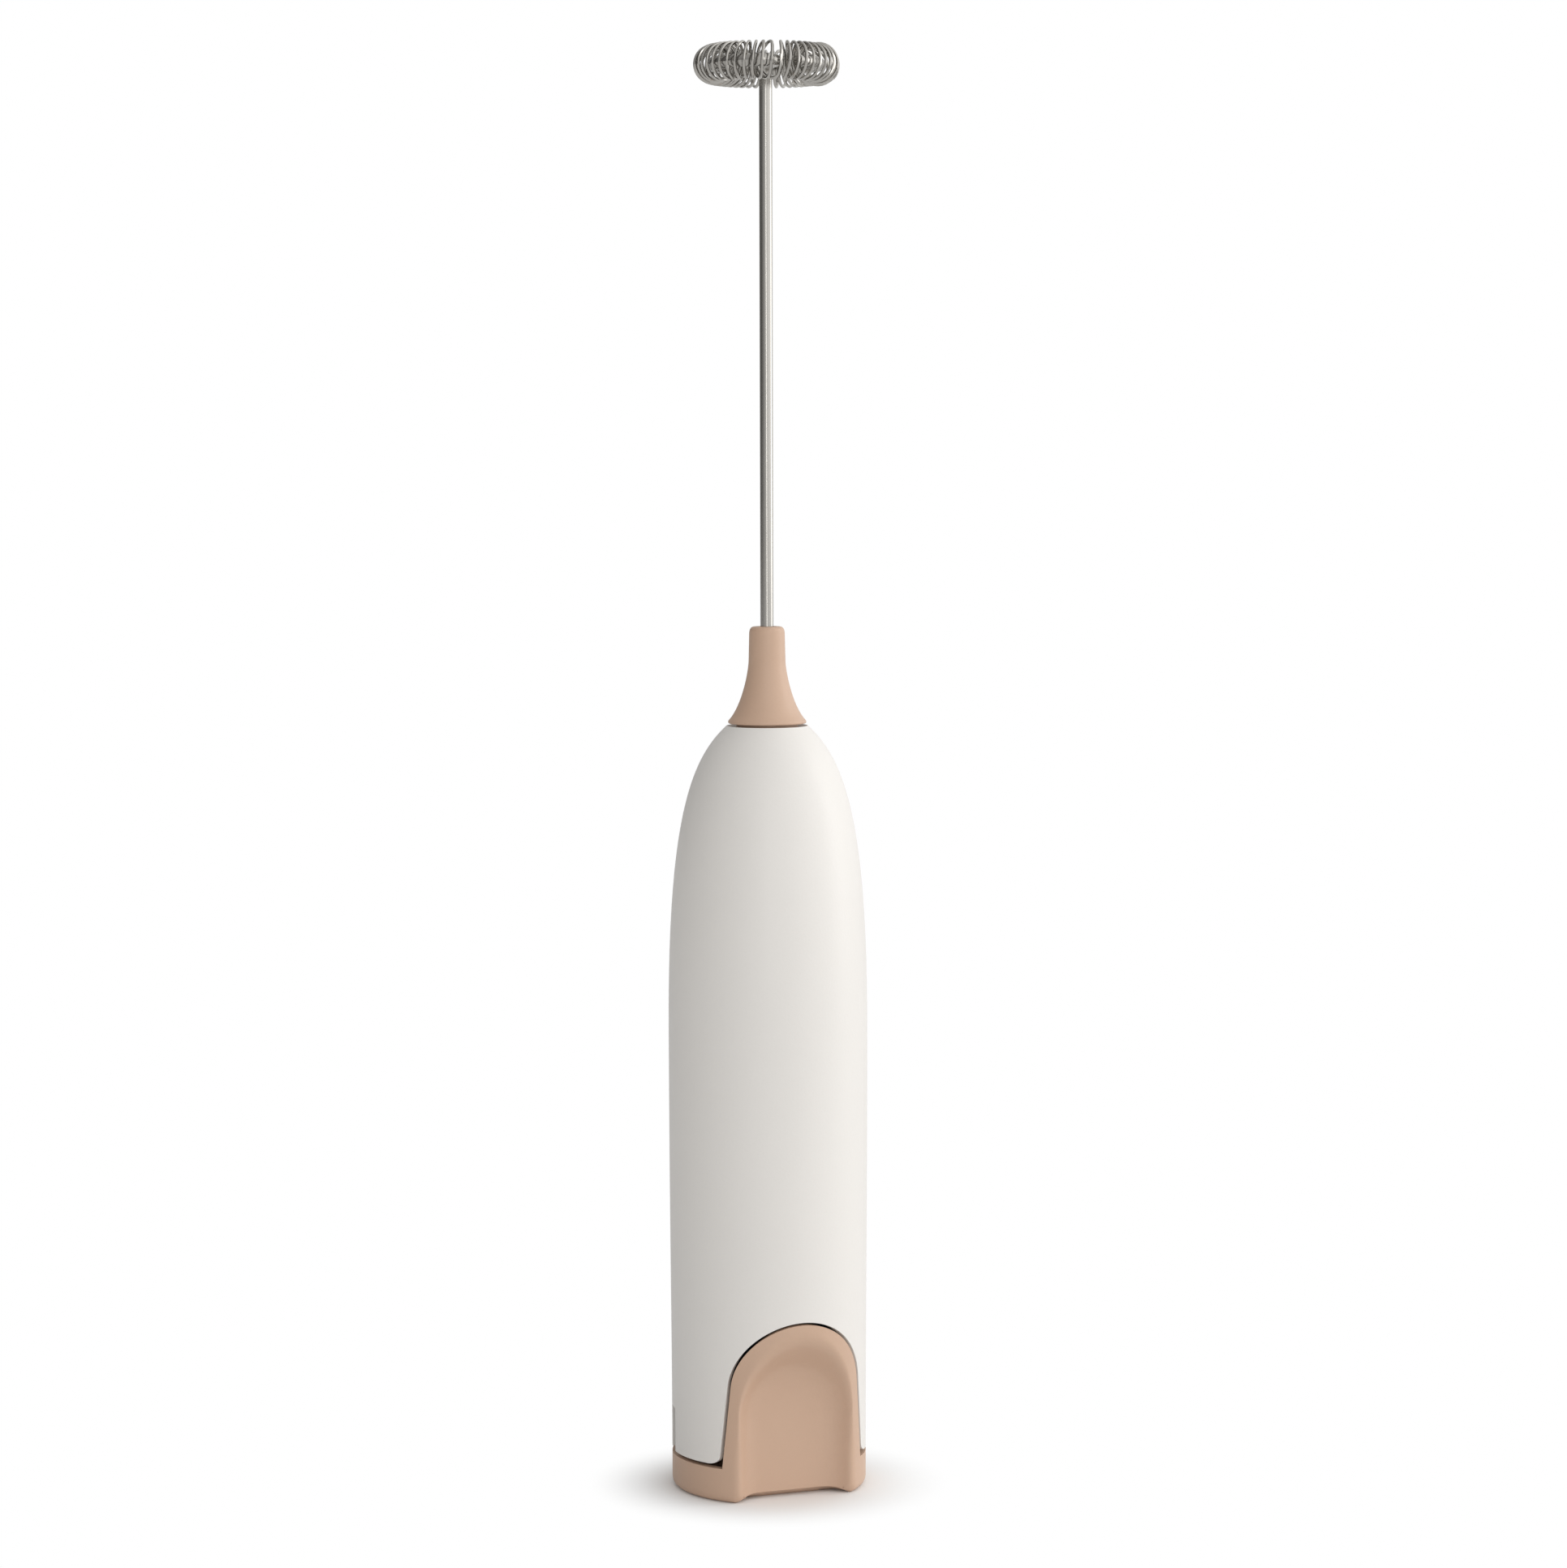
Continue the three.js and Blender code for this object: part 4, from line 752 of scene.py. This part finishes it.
# ---- Studio ---------------------------------------------------------------------------------
# A plain pale floor in a room that is bright on the right and dim on the left, with a narrow
# soft light by the camera and a broad one on the right.

AZIMUTH, DISTANCE, EYE_Z, LENS = radians(-20.5), 0.660, 0.168, 94.8
TILT, YAW, ROLL = radians(4.695), radians(0.225), radians(-0.13)


def bearing(degrees_right):
    """A level direction, so many degrees to the right of the camera."""
    a = AZIMUTH + radians(degrees_right)
    return Vector((sin(a), -cos(a), 0))


camera = bpy.data.objects.new("camera", bpy.data.cameras.new("camera"))
bpy.context.scene.collection.objects.link(camera)
camera.data.lens = LENS
camera.data.clip_start = 0.01
camera.matrix_world = (
    Matrix.Translation(bearing(0) * DISTANCE + Vector((0, 0, EYE_Z)))
    @ Matrix.Rotation(AZIMUTH - YAW, 4, "Z")
    @ Matrix.Rotation(pi / 2 - TILT, 4, "X")
    @ Matrix.Rotation(ROLL, 4, "Z")
)
bpy.context.scene.camera = camera

HANDLE_MIDDLE = 0.1


def softbox(name, degrees_right, distance, height, size, watts, colour):
    """A flat area light that faces the middle of the handle."""
    light = bpy.data.lights.new(name, "AREA")
    light.shape = "RECTANGLE"
    light.size, light.size_y = size
    light.energy = watts
    light.color = colour
    lamp = bpy.data.objects.new(name, light)
    bpy.context.scene.collection.objects.link(lamp)
    lamp.location = bearing(degrees_right) * distance + Vector((0, 0, height))
    lamp.rotation_mode = "QUATERNION"
    toward_handle = Vector((0, 0, HANDLE_MIDDLE)) - lamp.location
    lamp.rotation_quaternion = toward_handle.to_track_quat("-Z", "Y")
    lamp.visible_camera = False
    return lamp


softbox("strip", 2, 0.95, 0.25, (0.12, 1.0), 0.9, (1, 0.99, 0.975))
softbox("side", 98, 0.80, 0.20, (0.3, 0.9), 1.5, (1, 0.995, 0.985))

BRIGHT_SIDE, DIM_TINT, BRIGHT_TINT = 80, (0.13, 0.128, 0.125, 1), (1.42, 1.415, 1.40, 1)
world = bpy.data.worlds.new("studio")
bpy.context.scene.world = world
world.use_nodes = True
tree = world.node_tree
walls = tree.nodes["Background"]
toward = tree.nodes.new("ShaderNodeVectorMath")
toward.operation = "DOT_PRODUCT"
tree.links.new(tree.nodes.new("ShaderNodeTexCoord").outputs["Generated"], toward.inputs[0])
toward.inputs[1].default_value = bearing(BRIGHT_SIDE)
sides = tree.nodes.new("ShaderNodeMapRange")
sides.inputs["From Min"].default_value = -1
tree.links.new(toward.outputs["Value"], sides.inputs["Value"])
shade = tree.nodes.new("ShaderNodeMix")
shade.data_type = "RGBA"
tree.links.new(sides.outputs["Result"], shade.inputs["Factor"])
shade.inputs["A"].default_value = DIM_TINT
shade.inputs["B"].default_value = BRIGHT_TINT
tree.links.new(shade.outputs["Result"], walls.inputs["Color"])
white = tree.nodes.new("ShaderNodeBackground")
white.inputs["Color"].default_value = (1, 1, 1, 1)
pick = tree.nodes.new("ShaderNodeMixShader")
tree.links.new(tree.nodes.new("ShaderNodeLightPath").outputs["Is Camera Ray"], pick.inputs["Fac"])
tree.links.new(walls.outputs["Background"], pick.inputs[1])
tree.links.new(white.outputs["Background"], pick.inputs[2])
tree.links.new(pick.outputs["Shader"], tree.nodes["World Output"].inputs["Surface"])
bpy.context.scene.view_settings.view_transform = "Standard"

# The floor shows the shadow close to the object and runs out into the white round it.
FLOOR_R, SHADOW_FADES, SHADOW_ENDS = 3, 0.013, 0.03
bm = bmesh.new()
bmesh.ops.create_circle(bm, cap_ends=True, segments=96, radius=FLOOR_R)
floor_mesh = bpy.data.meshes.new("floor")
bm.to_mesh(floor_mesh)
bm.free()
floor_paint = bpy.data.materials.new("floor_paint")
floor_paint.use_nodes = True
tree = floor_paint.node_tree
paint = tree.nodes["Principled BSDF"]
paint.inputs["Base Color"].default_value = (0.88, 0.88, 0.88, 1)
paint.inputs["Roughness"].default_value = 0.9
away = tree.nodes.new("ShaderNodeVectorMath")
away.operation = "LENGTH"
tree.links.new(tree.nodes.new("ShaderNodeTexCoord").outputs["Object"], away.inputs[0])
fade = tree.nodes.new("ShaderNodeMapRange")
fade.interpolation_type = "SMOOTHSTEP"
fade.inputs["From Min"].default_value = SHADOW_FADES
fade.inputs["From Max"].default_value = SHADOW_ENDS
tree.links.new(away.outputs["Value"], fade.inputs["Value"])
seen = tree.nodes.new("ShaderNodeLightPath").outputs["Is Camera Ray"]
glow = tree.nodes.new("ShaderNodeEmission")
blend = tree.nodes.new("ShaderNodeMixShader")
tree.links.new(math(tree, "MULTIPLY", fade.outputs["Result"], seen), blend.inputs["Fac"])
tree.links.new(paint.outputs["BSDF"], blend.inputs[1])
tree.links.new(glow.outputs["Emission"], blend.inputs[2])
tree.links.new(blend.outputs["Shader"], tree.nodes["Material Output"].inputs["Surface"])
floor_mesh.materials.append(floor_paint)
floor = bpy.data.objects.new("floor", floor_mesh)
bpy.context.scene.collection.objects.link(floor)
